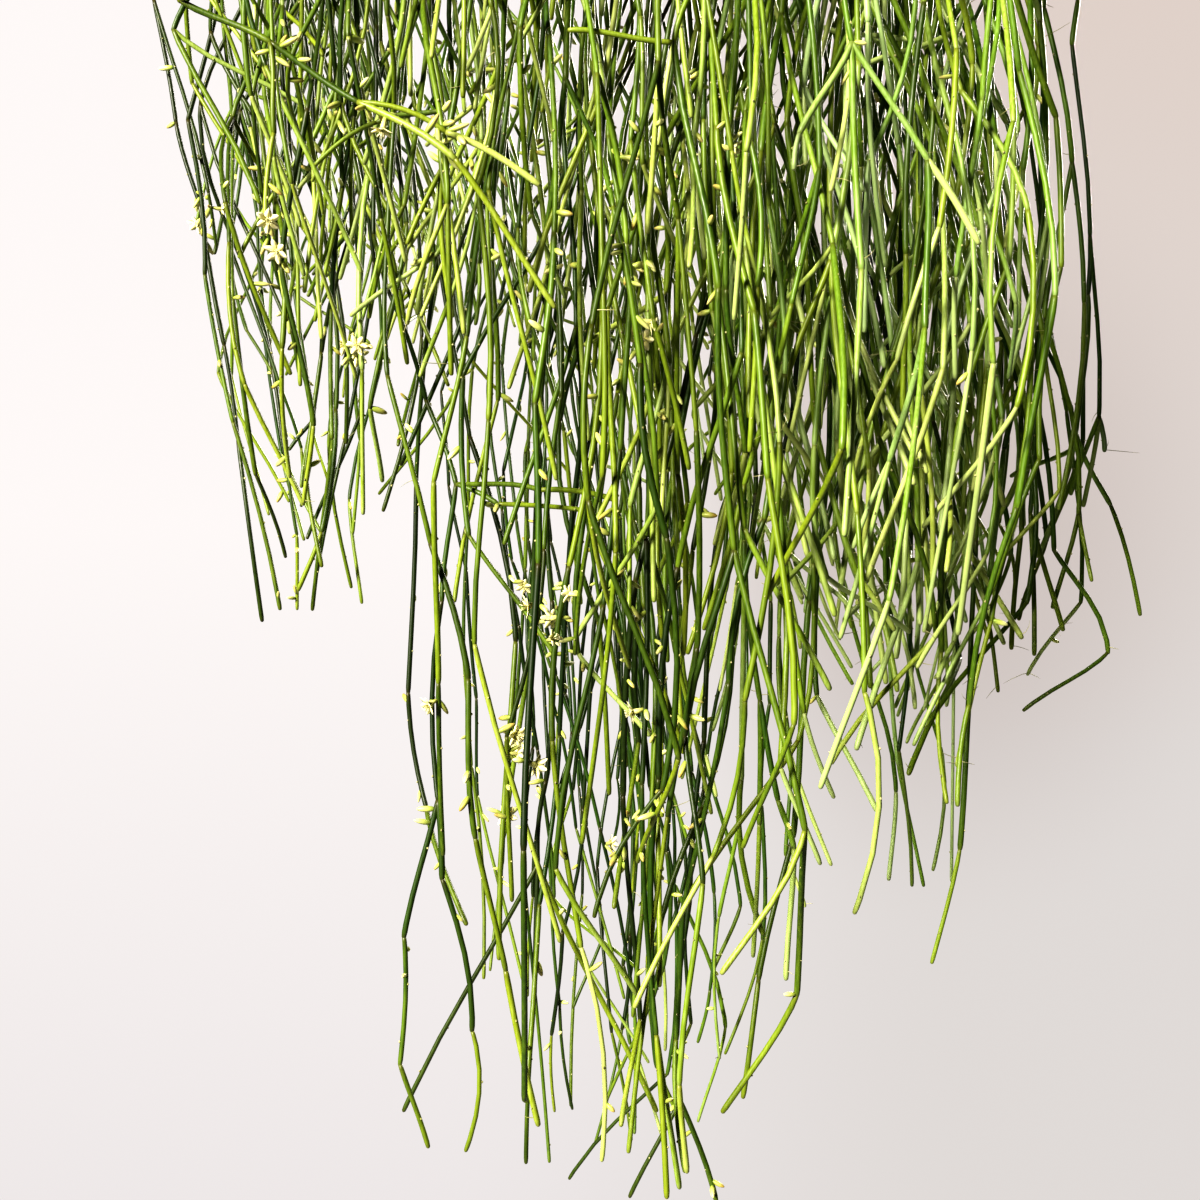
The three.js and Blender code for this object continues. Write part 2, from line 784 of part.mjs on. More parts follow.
// The joints of a guide, each drawn a little nearer or further until its stretch has room.
function follow(start, places, depth, draw) {
  const joints = [start];
  for (const [x, z] of places) {
    let placed = null;
    for (let attempt = 0; attempt < TRIES && placed === null; attempt += 1) {
      const joint = inLine(x, z, depth + GUIDE_NUDGE * attempt * (draw() - 0.5));
      const here = joints[joints.length - 1];
      if (missesPot(here, joint) && clears(here, joint, BRANCH_RADIUS)) {
        placed = joint;
      }
    }
    if (placed === null) {
      return joints;
    }
    block(joints[joints.length - 1], placed, BRANCH_RADIUS);
    joints.push(placed);
  }
  return joints;
}

// A guided branch: free steps down to its first place, then place by place, then its limbs.
function growGuided(shoulder, guide, draw) {
  const [first, ...others] = guide.joints;
  const aim = inLine(first[0], first[1], guide.depth);
  const lead = growBranch(shoulder, new THREE.Vector2(), [aim], draw)[0] ?? [shoulder];
  const trunk = [...lead, ...follow(lead[lead.length - 1], others, guide.depth, draw).slice(1)];
  const branches = [trunk];
  for (const limb of guide.limbs) {
    const index = lead.length - 1 + limb.at;
    if (index < trunk.length - 1) {
      branches.push(follow(trunk[index], limb.joints, guide.depth, draw));
    }
  }
  return branches.filter((joints) => joints.length > 1);
}

// The lowest joint of a trunk that a tip can still be reached from without leaning too far.
function departure(trunk, tip) {
  for (let i = trunk.length - 2; i > 0; i -= 1) {
    const drop = trunk[i].z - tip.z;
    const aside = Math.hypot(trunk[i].x - tip.x, trunk[i].y - tip.y);
    if (drop > STRETCH[1] && aside < STEEPEST_LEAN * drop) {
      return i;
    }
  }
  return 0;
}

// How far in front of the axis, or behind it, the curtain hangs at x.
function curtainDepth(x) {
  return FRONT_REACH * Math.sqrt(Math.max(1 - (x / SIDE_REACH) ** 2, 0));
}

// The free stems of one tuft, each with the place that it hangs from.
function freeStems(tuft) {
  const [front, side, back] = tuft.hang;
  const places = [];
  for (let i = 0; i < front + back; i += 1) {
    const share = i < front ? (i + 0.5) / front : (i - front + 0.5) / back;
    const x = within(tuft.x, share) + tuft.shift;
    places.push({ tuft, x, y: curtainDepth(x) * (i < front ? -FREE_DEPTH : FREE_DEPTH) });
  }
  for (let i = 0; i < side; i += 1) {
    const share = (i + 0.5) / side;
    places.push({ tuft, x: within(tuft.x, 0.5) + tuft.shift, y: FRONT_REACH * within(SIDE_SPREAD, share) });
  }
  return places;
}

// The stem that a guide leads, with the tuft that it hangs in.
function guidedStem(guide) {
  const [x] = guide.joints[0];
  const middles = TUFTS.map((tuft) => Math.abs(within(tuft.x, 0.5) - x));
  return { tuft: TUFTS[middles.indexOf(Math.min(...middles))], x, y: guide.depth, guide };
}

// All the stems in their order round the pot, from its left side by the front to the back, with their
// roots spaced evenly.
function layOut() {
  const stems = [...GUIDES.map(guidedStem), ...TUFTS.flatMap(freeStems)];
  const turnOf = ({ x, y }) => (Math.atan2(y, x) + 2 * Math.PI + Math.PI) % (2 * Math.PI);
  stems.sort((one, other) => turnOf(one) - turnOf(other));
  return stems.map((stem, index) => ({
    ...stem,
    index,
    azimuth: Math.PI + (2 * Math.PI * (index + 0.5)) / stems.length,
  }));
}

// A whole stem: its arch, and all the branches that hang from it.
function growStem(stem) {
  const draw = drawer(SEED + stem.index);
  const depth = stem.guide ? stem.y : stem.y * within(STEM_DEPTH, draw());
  const height = within(SHOULDER_Z, draw());
  const shoulder = clearOfRim(inLine(stem.x, height, depth).setZ(height));
  const arched = arch(stem.azimuth, stem.index % ROOT_RINGS.length, shoulder, draw);
  if (arched === null) {
    throw new Error(`stem ${stem.index} finds no way over the rim`);
  }
  const top = arched[arched.length - 1];
  const tips = tipsOf(stem.tuft, depth, draw);
  if (!stem.guide) {
    return { arched, branches: growBranch(top, new THREE.Vector2(), tips, draw) };
  }
  const branches = growGuided(top, stem.guide, draw);
  const trunk = branches[0] ?? [top];
  const free = tips.slice(branches.length - 1);
  for (let i = 0; i < trunk.length; i += 1) {
    const goals = free.filter((tip) => departure(trunk, tip) === i);
    if (goals.length > 0) {
      branches.push(...growBranch(trunk[i], new THREE.Vector2(), goals, draw));
    }
  }
  return { arched, branches };
}

// A shoulder no nearer to the axis than what hangs outside the rim.
function clearOfRim(point) {
  const reach = Math.hypot(point.x, point.y);
  const least = RIM_RADIUS + SHOULDER_OUTSIDE;
  return reach < least ? new THREE.Vector3(point.x * least / reach, point.y * least / reach, point.z) : point;
}

// ---- Buds ----

function bud(joint, along) {
  const shape = new THREE.OctahedronGeometry(1).scale(BUD_RADIUS, BUD_RADIUS, BUD_LENGTH / 2);
  const turn = new THREE.Quaternion().setFromUnitVectors(new THREE.Vector3(0, 0, 1), along);
  shape.applyQuaternion(turn);
  const centre = joint.clone().addScaledVector(along, BUD_LENGTH / 2 - BUD_SUNK);
  return solidOf(shape.translate(centre.x, centre.y, centre.z));
}

// Buds on some joints of a stem, each drawn until it has room beside its neighbours.
function budsOf(stem, branches, draw) {
  const joints = branches.flatMap((branch) => branch.slice(1, -1));
  const buds = [];
  for (let i = 0; i < stem.tuft.buds && joints.length > 0; i += 1) {
    const joint = joints[Math.floor(joints.length * draw())];
    for (let attempt = 0; attempt < TRIES; attempt += 1) {
      const turn = 2 * Math.PI * draw();
      const along = new THREE.Vector3(Math.cos(turn), Math.sin(turn), within(BUD_RISE, draw())).normalize();
      const end = joint.clone().addScaledVector(along, BUD_LENGTH - BUD_SUNK);
      const taken = buds.some((other) => other.joint === joint);
      if (!taken && clears(joint, end, BUD_RADIUS, BUD_PARTING)) {
        block(joint, end, BUD_RADIUS);
        buds.push({ joint, along });
        break;
      }
    }
  }
  return buds;
}

// ---- The whole ----

// The arch and the branch that carries on from it, as one tube that is thinner below the shoulder.
function trunkSolid(arched, branch) {
  const joints = [...arched, ...branch.slice(1)];
  const radii = joints.map((_, i) => CORNER_FACTOR * (i < arched.length ? ARCH_RADIUS : BRANCH_RADIUS));
  return tube(joints, radii, STEM_SIDES);
}

// A side branch, from a point in the middle of what it leaves to its full width a little below.
function branchSolid(joints) {
  const away = joints[1].clone().sub(joints[0]).normalize();
  const neck = joints[0].clone().addScaledVector(away, NECK_LENGTH);
  const path = [joints[0], neck, ...joints.slice(1)];
  return tube(path, path.map((_, i) => (i > 0 ? CORNER_FACTOR * BRANCH_RADIUS : 0)), STEM_SIDES);
}

for (const azimuth of wireAzimuths) {
  const joints = wireJoints(azimuth);
  joints.slice(1).forEach((joint, i) => block(joints[i], joint, WIRE_RADIUS));
  block(polar(EAR_RADIUS, azimuth, RIM_Z), polar(EAR_RADIUS, azimuth, EYELET_Z), EAR_WIDTH / 2);
}

const cactus = new THREE.Group();
const grown = layOut().map((stem) => ({ stem, ...growStem(stem) }));

grown.forEach(({ stem, arched, branches }) => {
  const draw = drawer(BUD_SEED + stem.index);
  const pieces = [
    trunkSolid(arched, branches[0]),
    ...branches.slice(1).map(branchSolid),
    ...budsOf(stem, branches, draw).map(({ joint, along }) => bud(joint, along)),
  ];
  const name = `stem_${String(stem.index + 1).padStart(2, "0")}`;
  cactus.add(meshOf(name, wasm.Manifold.union(pieces), STEM_FINISH));
});

const roots = grown.map(({ arched }) => arched[0]);
cactus.add(meshOf("pot", potSolid(), POT_FINISH));
cactus.add(meshOf("soil", soilSolid(roots), SOIL_FINISH));
cactus.add(meshOf("hook", hookSolid(), STEEL_FINISH));
wireAzimuths.forEach((azimuth, i) => {
  const wire = evenTube(wireJoints(azimuth), WIRE_RADIUS, WIRE_SIDES);
  cactus.add(meshOf(`hanger_wire_${i + 1}`, wire, STEEL_FINISH));
});

export default cactus;
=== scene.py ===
# %% [markdown]
# # A mistletoe cactus in a hanging pot
# This plant hangs from tree branches in the wild. Its stems are leafless green rods, a little thicker than
# a match. Each rod is a joint of the stem: it grows to its length, stops, and the next ones sprout from its
# blunt end. Indoors it is kept in a hanging pot, and the stems fall over the rim as a curtain.
#
# The CAD model holds the pot, its hanger and the main stems as coarse solids. This script keeps their places
# and sizes, gives each one its finer shape and its finish, and adds what is too small or too many for solids.

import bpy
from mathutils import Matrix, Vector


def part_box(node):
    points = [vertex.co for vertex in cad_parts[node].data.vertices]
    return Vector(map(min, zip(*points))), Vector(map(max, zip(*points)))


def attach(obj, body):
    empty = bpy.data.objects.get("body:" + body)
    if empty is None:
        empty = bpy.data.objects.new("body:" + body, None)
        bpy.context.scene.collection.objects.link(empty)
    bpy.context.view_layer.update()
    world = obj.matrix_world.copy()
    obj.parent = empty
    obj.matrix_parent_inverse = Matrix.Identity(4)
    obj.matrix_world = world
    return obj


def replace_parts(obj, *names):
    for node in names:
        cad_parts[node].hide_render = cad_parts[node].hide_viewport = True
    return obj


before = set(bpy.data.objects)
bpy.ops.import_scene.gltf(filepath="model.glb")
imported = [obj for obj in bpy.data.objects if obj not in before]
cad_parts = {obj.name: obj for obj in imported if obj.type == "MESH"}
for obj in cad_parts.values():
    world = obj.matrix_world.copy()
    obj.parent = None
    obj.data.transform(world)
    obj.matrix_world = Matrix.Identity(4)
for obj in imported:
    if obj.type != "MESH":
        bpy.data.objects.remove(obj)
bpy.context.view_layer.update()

import copy
import math

import bpy
import numpy as np
from mathutils import Vector

# %% [markdown]
# ## Numbers that look random
# A plant looks wrong when it is too regular, and a script is no use when each run differs. Seeded draws give
# both: numbers without a pattern that come out the same every time. The growing rules below use the same
# small generator as the CAD model, so they grow the same stems joint by joint.

# %% Seeded draws
WORD = 0xFFFFFFFF
COUNTER_STEP = 0x6D2B79F5


def drawer(seed):
    """Numbers from 0 to 1 in a fixed order: a 32-bit counter whose bits are mixed by two multiplications."""
    state = seed & WORD

    def draw():
        nonlocal state
        state = (state + COUNTER_STEP) & WORD
        word = state
        word = ((word ^ (word >> 15)) * (word | 1)) & WORD
        word ^= (word + (word ^ (word >> 7)) * (word | 61)) & WORD
        return (word ^ (word >> 14)) / (WORD + 1)

    return draw


def within(limits, share):
    """The value that lies at a share of the way between two limits."""
    return limits[0] + (limits[1] - limits[0]) * share


print("a quarter of the way from 10 to 20 is", within([10, 20], 0.25), "and a first draw is", drawer(1)())

# %% [markdown]
# ## The sizes
# The stems grow in millimetres, with the origin at the inside of the hook's bow and Z up. The pot is an
# ordinary 25 cm hanging pot. The heights of its rim and base, of the soil and of the ferrule under the hook
# are read from the frame, and the other sizes are written here once.

# %% Sizes in millimetres
MM = 0.001
pot_low, pot_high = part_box("pot")
_, soil_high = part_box("soil")
hook_low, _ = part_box("hook")

EAR_HEIGHT = 15
RIM_Z = round(pot_high.z / MM) - EAR_HEIGHT
BASE_Z = round(pot_low.z / MM)
SOIL_Z = round(soil_high.z / MM)
RIM_RADIUS = 125
BASE_RADIUS = 86
WALL = 3
BAND_HEIGHT = 16
BAND_STEP = 4
BAND_Z = RIM_Z - BAND_HEIGHT
MOUTH_RADIUS = RIM_RADIUS - BAND_STEP - WALL
GAP = 0.3

WIRE_COUNT = 3
WIRE_RADIUS = 1.1
FIRST_WIRE_DEGREES = 30
EAR_WIDTH = 12
EAR_THICKNESS = 3
EAR_INSET = 0.5
EAR_RADIUS = RIM_RADIUS - EAR_THICKNESS / 2 - EAR_INSET
EYELET_BELOW_TOP = 5
EYELET_Z = RIM_Z + EAR_HEIGHT - EYELET_BELOW_TOP
WIRE_END = [[-9, 9], [-5, 0], [4, 0], [6, 5]]
FERRULE_HEIGHT = 16
FERRULE_TOP = round(hook_low.z / MM) + FERRULE_HEIGHT
WIRE_TOP_RING = 4.6
WIRE_SUNK = 10
WIRE_STRAIGHT = 3

wire_azimuths = [math.radians(FIRST_WIRE_DEGREES + 360 / WIRE_COUNT * i) for i in range(WIRE_COUNT)]
print("ferrule, rim, soil and base at", FERRULE_TOP, RIM_Z, SOIL_Z, BASE_Z, "mm")

# %% [markdown]
# The stems are laid out as an eye sees them from in front of the pot. Each is a chain of stretches, drawn
# between two lengths. Shares and chances say how it leans and divides, and how far it keeps from the others.

# %% Sizes of the stems in millimetres
SEED = 1207
EYE_DISTANCE = 680
EYE_HEIGHT = -890
ROOT_DEPTH = 16
ARCH_RADIUS = 2.2
BRANCH_RADIUS = 1.45

STRETCH = [52, 108]
LAST_STRETCH = 1.3
LEAST_DROP = 12
TIP_NUDGE = 1.2
GUIDE_NUDGE = 5
STEEPEST_LEAN = 0.5
KEEP_LEAN = 0.4
THIRD_CHANCE = 0.3
TRIES = 16
SIBLING_GAP = 9
POT_CLEARANCE = 5
POT_CHECKS = 9
LEVEL_MARGIN = 10
SAME_PLACE = 1e-6
NEARLY_PARALLEL = 1e-9
NO_LENGTH = 1e-12
MOST_STRETCHES = 12000

SHOULDER_Z = [-464, -440]
SHOULDER_OUTSIDE = 22
SIDE_REACH = 228
FRONT_REACH = 162
FREE_DEPTH = 0.92
SIDE_SPREAD = [-0.42, 0.42]
STEM_DEPTH = [0.85, 1.15]
TIP_DEPTH = [0.8, 1.1]
DEPTH_SPREAD = [-15, 15]
CREST_SPREAD = [0.8, 1.2]
ARCH_SLOPE = 0.12
ARCH_STOPS = [0.22, 0.42, 0.6, 0.8, 1]
ARCH_TRIES = 64
SPROUT_HEIGHT = 8
print("stretches of", *STRETCH, "mm, seen from", EYE_DISTANCE, "mm in front")

# %% [markdown]
# ## Where the stems hang
# Seen from the front, the curtain has a few tufts side by side, each with tips at its own heights, and one
# long tail in the middle. A table with one row for each tuft says that in plain numbers: where its tips end
# from left to right, how high the short ones end and how high the deep ones, what share is deep, how far its
# stems hang aside from there, how many stems hang in front, at the side and behind, and how many tips and
# buds each of them has. The hem is the curtain's lower edge, and the few stems that give the curtain its
# outline are placed as guides, each with its depth, its joints and the limbs that leave it.

# %% The tufts, the hem and the guides
TUFT_COLUMNS = ("x", "short", "deep", "share", "shift", "hang", "tips", "buds")
TUFT_ROWS = [
    ([-208, -188], [-690, -790], [-790, -830], 0.2, -8, [0, 0, 0], 2, 2),
    ([-166, -138], [-650, -790], [-800, -895], 0.4, 2, [1, 3, 1], 8, 2),
    ([-150, -108], [-650, -790], [-800, -900], 0.35, -8, [2, 0, 2], 9, 2),
    ([-107, -72], [-640, -780], [-1000, -1150], 0.08, 0, [1, 0, 2], 8, 2),
    ([-70, -30], [-680, -810], [-1000, -1160], 0.34, 0, [2, 0, 2], 7, 2),
    ([-30, 12], [-640, -820], [-900, -1185], 0.5, 0, [1, 0, 2], 8, 1),
    ([12, 62], [-700, -900], [-930, -1190], 0.55, 0, [1, 0, 3], 9, 1),
    ([62, 95], [-740, -900], [-1000, -1145], 0.12, 0, [1, 0, 1], 8, 1),
    ([95, 135], [-770, -920], [-940, -1075], 0.14, -4, [3, 0, 2], 9, 1),
    ([135, 180], [-770, -965], [-960, -1065], 0.16, -12, [2, 0, 2], 10, 1),
    ([180, 214], [-750, -915], [-925, -960], 0.06, -26, [1, 3, 1], 8, 1),
    ([214, 248], [-800, -900], [-910, -930], 0.3, -10, [0, 0, 0], 5, 0),
]
TUFTS = [dict(zip(TUFT_COLUMNS, row)) for row in TUFT_ROWS]
HEM = [
    [-236, -560], [-226, -600], [-204, -692], [-190, -790], [-174, -895], [-112, -902], [-105, -840],
    [-102, -1168], [-60, -1172], [-30, -1196], [62, -1196], [76, -1150], [94, -1148], [99, -1082],
    [120, -1080], [150, -1042], [180, -1072], [186, -962], [205, -925], [238, -1000], [250, -905],
    [272, -900], [282, -600],
]
HEM_SLACK = 2
GUIDES = [
    dict(
        depth=-10,
        joints=[[-223, -590], [-212, -651], [-200, -692], [-188, -762], [-181, -810], [-169, -900]],
        limbs=[],
    ),
    dict(
        depth=-228,
        joints=[[-210, -590], [-165, -611], [-121, -641], [-77, -656], [-31, -682]],
        limbs=[
            dict(at=1, joints=[[-163, -656], [-167, -705]]),
            dict(at=2, joints=[[-73, -669], [-23, -743]]),
        ],
    ),
    dict(
        depth=-200,
        joints=[[-88, -590], [-79, -645], [-76, -692], [-68, -756]],
        limbs=[dict(at=1, joints=[[-111, -651], [-142, -672]])],
    ),
    dict(
        depth=-120,
        joints=[
            [-100, -740], [-87, -790], [-72, -832], [-79, -890], [-81, -990], [-79, -1029], [-64, -1105],
            [-67, -1165],
        ],
        limbs=[
            dict(at=2, joints=[[-30, -835], [8, -840]]),
            dict(at=2, joints=[[-51, -842], [10, -849]]),
            dict(at=4, joints=[[-98, -1058], [-100, -1122], [-86, -1163]]),
        ],
    ),
    dict(
        depth=-90,
        joints=[[-20, -800], [-24, -890], [-27, -980], [-31, -1022], [-33, -1092], [-37, -1171]],
        limbs=[dict(at=3, joints=[[-98, -1145]]), dict(at=3, joints=[[28, -1145]])],
    ),
    dict(
        depth=-176,
        joints=[[52, -575], [37, -611], [29, -662], [26, -760]],
        limbs=[dict(at=1, joints=[[-15, -605], [-70, -600]])],
    ),
    dict(depth=-150, joints=[[20, -590], [24, -690], [25, -790], [27, -890]], limbs=[]),
    dict(
        depth=-60,
        joints=[[60, -850], [52, -960], [45, -1040], [40, -1140], [58, -1190]],
        limbs=[dict(at=3, joints=[[15, -1188]])],
    ),
    dict(depth=-110, joints=[[72, -860], [80, -940], [89, -990], [97, -1014], [93, -1079]], limbs=[]),
    dict(
        depth=-190,
        joints=[[120, -570], [126, -611], [164, -670], [189, -711]],
        limbs=[dict(at=1, joints=[[100, -656], [97, -674]])],
    ),
    dict(depth=-70, joints=[[178, -780], [188, -860], [185, -930], [180, -1014], [166, -1071]], limbs=[]),
    dict(
        depth=-40,
        joints=[[222, -594], [236, -671], [222, -749], [218, -790], [227, -865], [254, -916], [212, -945]],
        limbs=[],
    ),
    dict(
        depth=5,
        joints=[[239, -590], [236, -612], [245, -708], [244, -737], [238, -806], [255, -842], [270, -897]],
        limbs=[dict(at=4, joints=[[220, -866], [211, -925], [236, -998]])],
    ),
]
MAIN_STEMS = dict(
    tufts=TUFTS, guides=GUIDES, seed=SEED, sway=0.15, kick=0.26, fork_chance=0.62, corner=1.3, clearance=0.7,
    root_rings=[98, 72, 98, 46], crests=[70, 108, 70, 140], arch_radius=ARCH_RADIUS, reach=400, depth=400,
)
print(len(TUFTS), "tufts,", len(GUIDES), "guides")

# %% [markdown]
# ## Room between the stems
# Two stems can't be in one place. Each new stretch is therefore tested against all the stretches that stand
# already, and drawn again if it comes too near. The test works on whole arrays: the shortest distance from
# one stretch to every other is one formula on all the rows at once, instead of a slow loop.

# %% Distances between stretches


def lengths(vectors):
    """The length of each row of an array of vectors."""
    return np.sqrt((vectors * vectors).sum(-1))


def point_gap(point, starts, ends):
    """Distance from points to straight stretches: go along each stretch by the share
    (point - start) . along / along . along, held between 0 and 1, and measure from there."""
    along = ends - starts
    share = ((point - starts) * along).sum(-1) / (along * along).sum(-1)
    return lengths(point - starts - along * np.clip(share, 0, 1)[..., None])


def stretch_gap(start, end, starts, ends):
    """Shortest distance from one straight stretch to many: the nearest place on the first one's endless
    line, held to its length, then the nearest to it on the others, then back on the first."""
    along = end - start
    others = ends - starts
    between = start - starts
    square = along @ along
    other_square = (others * others).sum(-1)
    shared = others @ along
    slant = square * other_square - shared * shared
    at_start = between @ along
    at_other = (others * between).sum(-1)
    steady = slant > NEARLY_PARALLEL
    first = (shared * at_other - at_start * other_square) / np.where(steady, slant, 1)
    first = np.where(steady, np.clip(first, 0, 1), 0)
    second = np.clip((shared * first + at_other) / other_square, 0, 1)
    last = np.clip((shared * second - at_start) / square, 0, 1)
    return lengths(start + along * last[:, None] - starts - others * second[:, None])


class Room:
    """The stretches that stand already, which a new one keeps clear of."""

    def __init__(self, most):
        self.starts = np.zeros((most, 3))
        self.ends = np.zeros((most, 3))
        self.radii = np.zeros(most)
        self.count = 0

    def block(self, start, end, radius):
        """Adds a stretch that later ones have to keep clear of."""
        self.starts[self.count] = start
        self.ends[self.count] = end
        self.radii[self.count] = radius
        self.count += 1

    def clears(self, start, end, radius, habit, parting=SIBLING_GAP):
        """Whether a stretch keeps clear of every other: by both radii times the corner factor, and the
        clearance. It may touch the one that it carries on from, and it only has to part from one that leaves
        the same joint."""
        starts, ends = self.starts[: self.count], self.ends[: self.count]
        tops = np.maximum(starts[:, 2], ends[:, 2])
        bottoms = np.minimum(starts[:, 2], ends[:, 2])
        near = tops >= min(start[2], end[2]) - LEVEL_MARGIN
        near &= bottoms <= max(start[2], end[2]) + LEVEL_MARGIN
        near &= lengths(ends - start) >= SAME_PLACE
        if not near.any():
            return True
        starts, ends, radii = starts[near], ends[near], self.radii[: self.count][near]
        free = stretch_gap(start, end, starts, ends) > (radius + radii) * habit["corner"] + habit["clearance"]
        sibling = lengths(starts - start) < SAME_PLACE
        apart = np.minimum(point_gap(end, starts, ends), point_gap(ends, start[None], end[None]))
        return bool(np.where(sibling, apart > parting, free).all())


def misses_pot(start, end):
    """Whether a stretch keeps clear of the pot: inside its mouth above the soil, or outside it. The pot's
    outer radius grows evenly from its base to the band under its rim."""
    at = start + (end - start) * np.linspace(0, 1, POT_CHECKS)[:, None]
    out = np.hypot(at[:, 0], at[:, 1])
    height = at[:, 2]
    in_mouth = (height > SOIL_Z) & (out < MOUTH_RADIUS - POT_CLEARANCE)
    share = np.clip((height - BASE_Z) / (BAND_Z - BASE_Z), 0, 1)
    side = BASE_RADIUS + (RIM_RADIUS - BAND_STEP - BASE_RADIUS) * share
    reach = np.where(height > BAND_Z - POT_CLEARANCE, RIM_RADIUS, side)
    level = (height < RIM_Z + POT_CLEARANCE) & (height > BASE_Z - POT_CLEARANCE)
    return not (level & ~in_mouth & (out < reach + POT_CLEARANCE)).any()


room = Room(MOST_STRETCHES)
print("room for", MOST_STRETCHES, "stretches")

# %% [markdown]
# ## How one stretch follows another
# A hanging stem is drawn down by its own weight, keeps some of the direction that it had, and has to end at
# the tips that it was given. Each new joint is the sum of those three and a little chance. Where a stem
# divides, its tips are shared out from left to right, and each branch starts with a small kick to its side.

# %% The front view and the hem


def in_line(x, z, y):
    """The point at depth y that is seen from the front in line with (x, z) on the plane of the pot's axis:
    both distances from the eye's level line grow by 1 + y / (the eye's distance)."""
    scale = 1 + y / EYE_DISTANCE
    return np.array([x * scale, y, EYE_HEIGHT + (z - EYE_HEIGHT) * scale])


hem_x, hem_z = np.array(HEM, float).T


def above_hem(point):
    """Whether a point is seen above the line of the curtain's lower edge."""
    scale = 1 + point[1] / EYE_DISTANCE
    hem = np.interp(point[0] / scale, hem_x, hem_z)
    return EYE_HEIGHT + (point[2] - EYE_HEIGHT) / scale > hem - HEM_SLACK


def polar(radius, azimuth, z):
    """A point from its distance to the axis, its azimuth and its height."""
    return np.array([radius * math.cos(azimuth), radius * math.sin(azimuth), z])


print("the hem runs from", hem_x.min(), "to", hem_x.max(), "mm and down to", hem_z.min(), "mm")

# %% One joint after another


def next_joint(here, lean, kick, aim, last, draw, habit):
    """Where the next joint goes, drawn again until it has room: down, leaning partly as before, partly
    towards the aim, and partly at random. The last stretch goes straight to its tip. Nothing is given back
    after the last try."""
    for attempt in range(TRIES):
        length = within(STRETCH, draw())
        turn = 2 * math.pi * draw()
        sway = habit["sway"] * (1 + attempt / TRIES) * math.sqrt(draw())
        drop = here[2] - aim[2]
        aside = np.array([math.cos(turn), math.sin(turn)])
        if last and drop < LAST_STRETCH * length:
            tip = aim + attempt * TIP_NUDGE * np.array([aside[0], aside[1], 1])
            falls = tip[2] < here[2] - LEAST_DROP
            if falls and misses_pot(here, tip) and room.clears(here, tip, BRANCH_RADIUS, habit):
                return tip, lean, True
        else:
            heading = (aim - here)[:2] / max(drop, length)
            steep = math.hypot(*heading)
            heading = heading / (steep or 1) * min(steep, STEEPEST_LEAN)
            leaning = lean * KEEP_LEAN + heading * (1 - KEEP_LEAN) + kick + aside * sway
            along = np.array([leaning[0], leaning[1], -1])
            joint = here + along / math.sqrt(along @ along) * length
            inside = above_hem(joint) and abs(joint[0]) < habit["reach"] * (1 + joint[1] / EYE_DISTANCE)
            inside = inside and abs(joint[1]) < habit["depth"]
            if inside and misses_pot(here, joint) and room.clears(here, joint, BRANCH_RADIUS, habit):
                return joint, leaning, False
    return None


def share_out(tips, draw):
    """The tips shared out from left to right between the two or three branches that a joint divides into."""
    parts = 3 if len(tips) > 2 and draw() < THIRD_CHANCE else 2
    tips = sorted(tips, key=lambda tip: tip[0])
    edges = [math.floor(len(tips) * i / parts + 0.5) for i in range(parts + 1)]
    return [tips[low:high] for low, high in zip(edges, edges[1:]) if high > low]


def grow_branch(start, goals, draw, habit):
    """A branch grown from a joint to all its tips, and the branches that leave it, as lists of joints."""
    branches = []
    waiting = [(start, np.zeros(2), np.zeros(2), goals)]
    while waiting:
        here, lean, kick, tips = waiting.pop()
        joints = [here]
        while True:
            aim = sum(tips) / len(tips)
            grown = next_joint(here, lean, kick, aim, len(tips) == 1, draw, habit)
            if grown is None:
                if not waiting or waiting[-1][0] is not here:
                    break
                _, lean, kick, tips = waiting.pop()
                continue
            room.block(here, grown[0], BRANCH_RADIUS)
            here, lean, done = grown
            kick = np.zeros(2)
            joints.append(here)
            if done:
                break
            must_part = here[2] - max(tip[2] for tip in tips) < STRETCH[1]
            if len(tips) > 1 and (must_part or draw() < habit["fork_chance"]):
                centre = sum(tips) / len(tips)
                first, *others = share_out(tips, draw)
                for group in others:
                    waiting.append((here, lean, habit["kick"] * away(group, centre), group))
                tips, kick = first, habit["kick"] * away(first, centre)
        if len(joints) > 1:
            branches.append(joints)
    return branches


def away(group, centre):
    """The level direction from the middle of all the tips to the middle of a branch's own."""
    aside = (sum(group) / len(group) - centre)[:2]
    return aside / (math.hypot(*aside) or 1)


print("the level direction of (3, 4):", away([np.array([3.0, 4, 0])], np.zeros(3)))

# %% [markdown]
# ## A whole stem
# A stem rises from the soil, arches over the rim and falls. The arch is a cubic Bezier curve: two points
# for its ends, and two more above them that say how high it rises. It is drawn until it clears its
# neighbours. From the arch's lower end the branches grow down to the tips of their tuft.

# %% The arch over the rim


def bezier(points, t):
    """A cubic Bezier curve at the shares t: the four points weighed by (1-t)^3, 3(1-t)^2 t, 3(1-t) t^2
    and t^3."""
    t = np.asarray(t, float)[:, None]
    p0, p1, p2, p3 = points
    s = 1 - t
    return s * s * s * p0 + 3 * s * s * t * p1 + 3 * s * t * t * p2 + t * t * t * p3


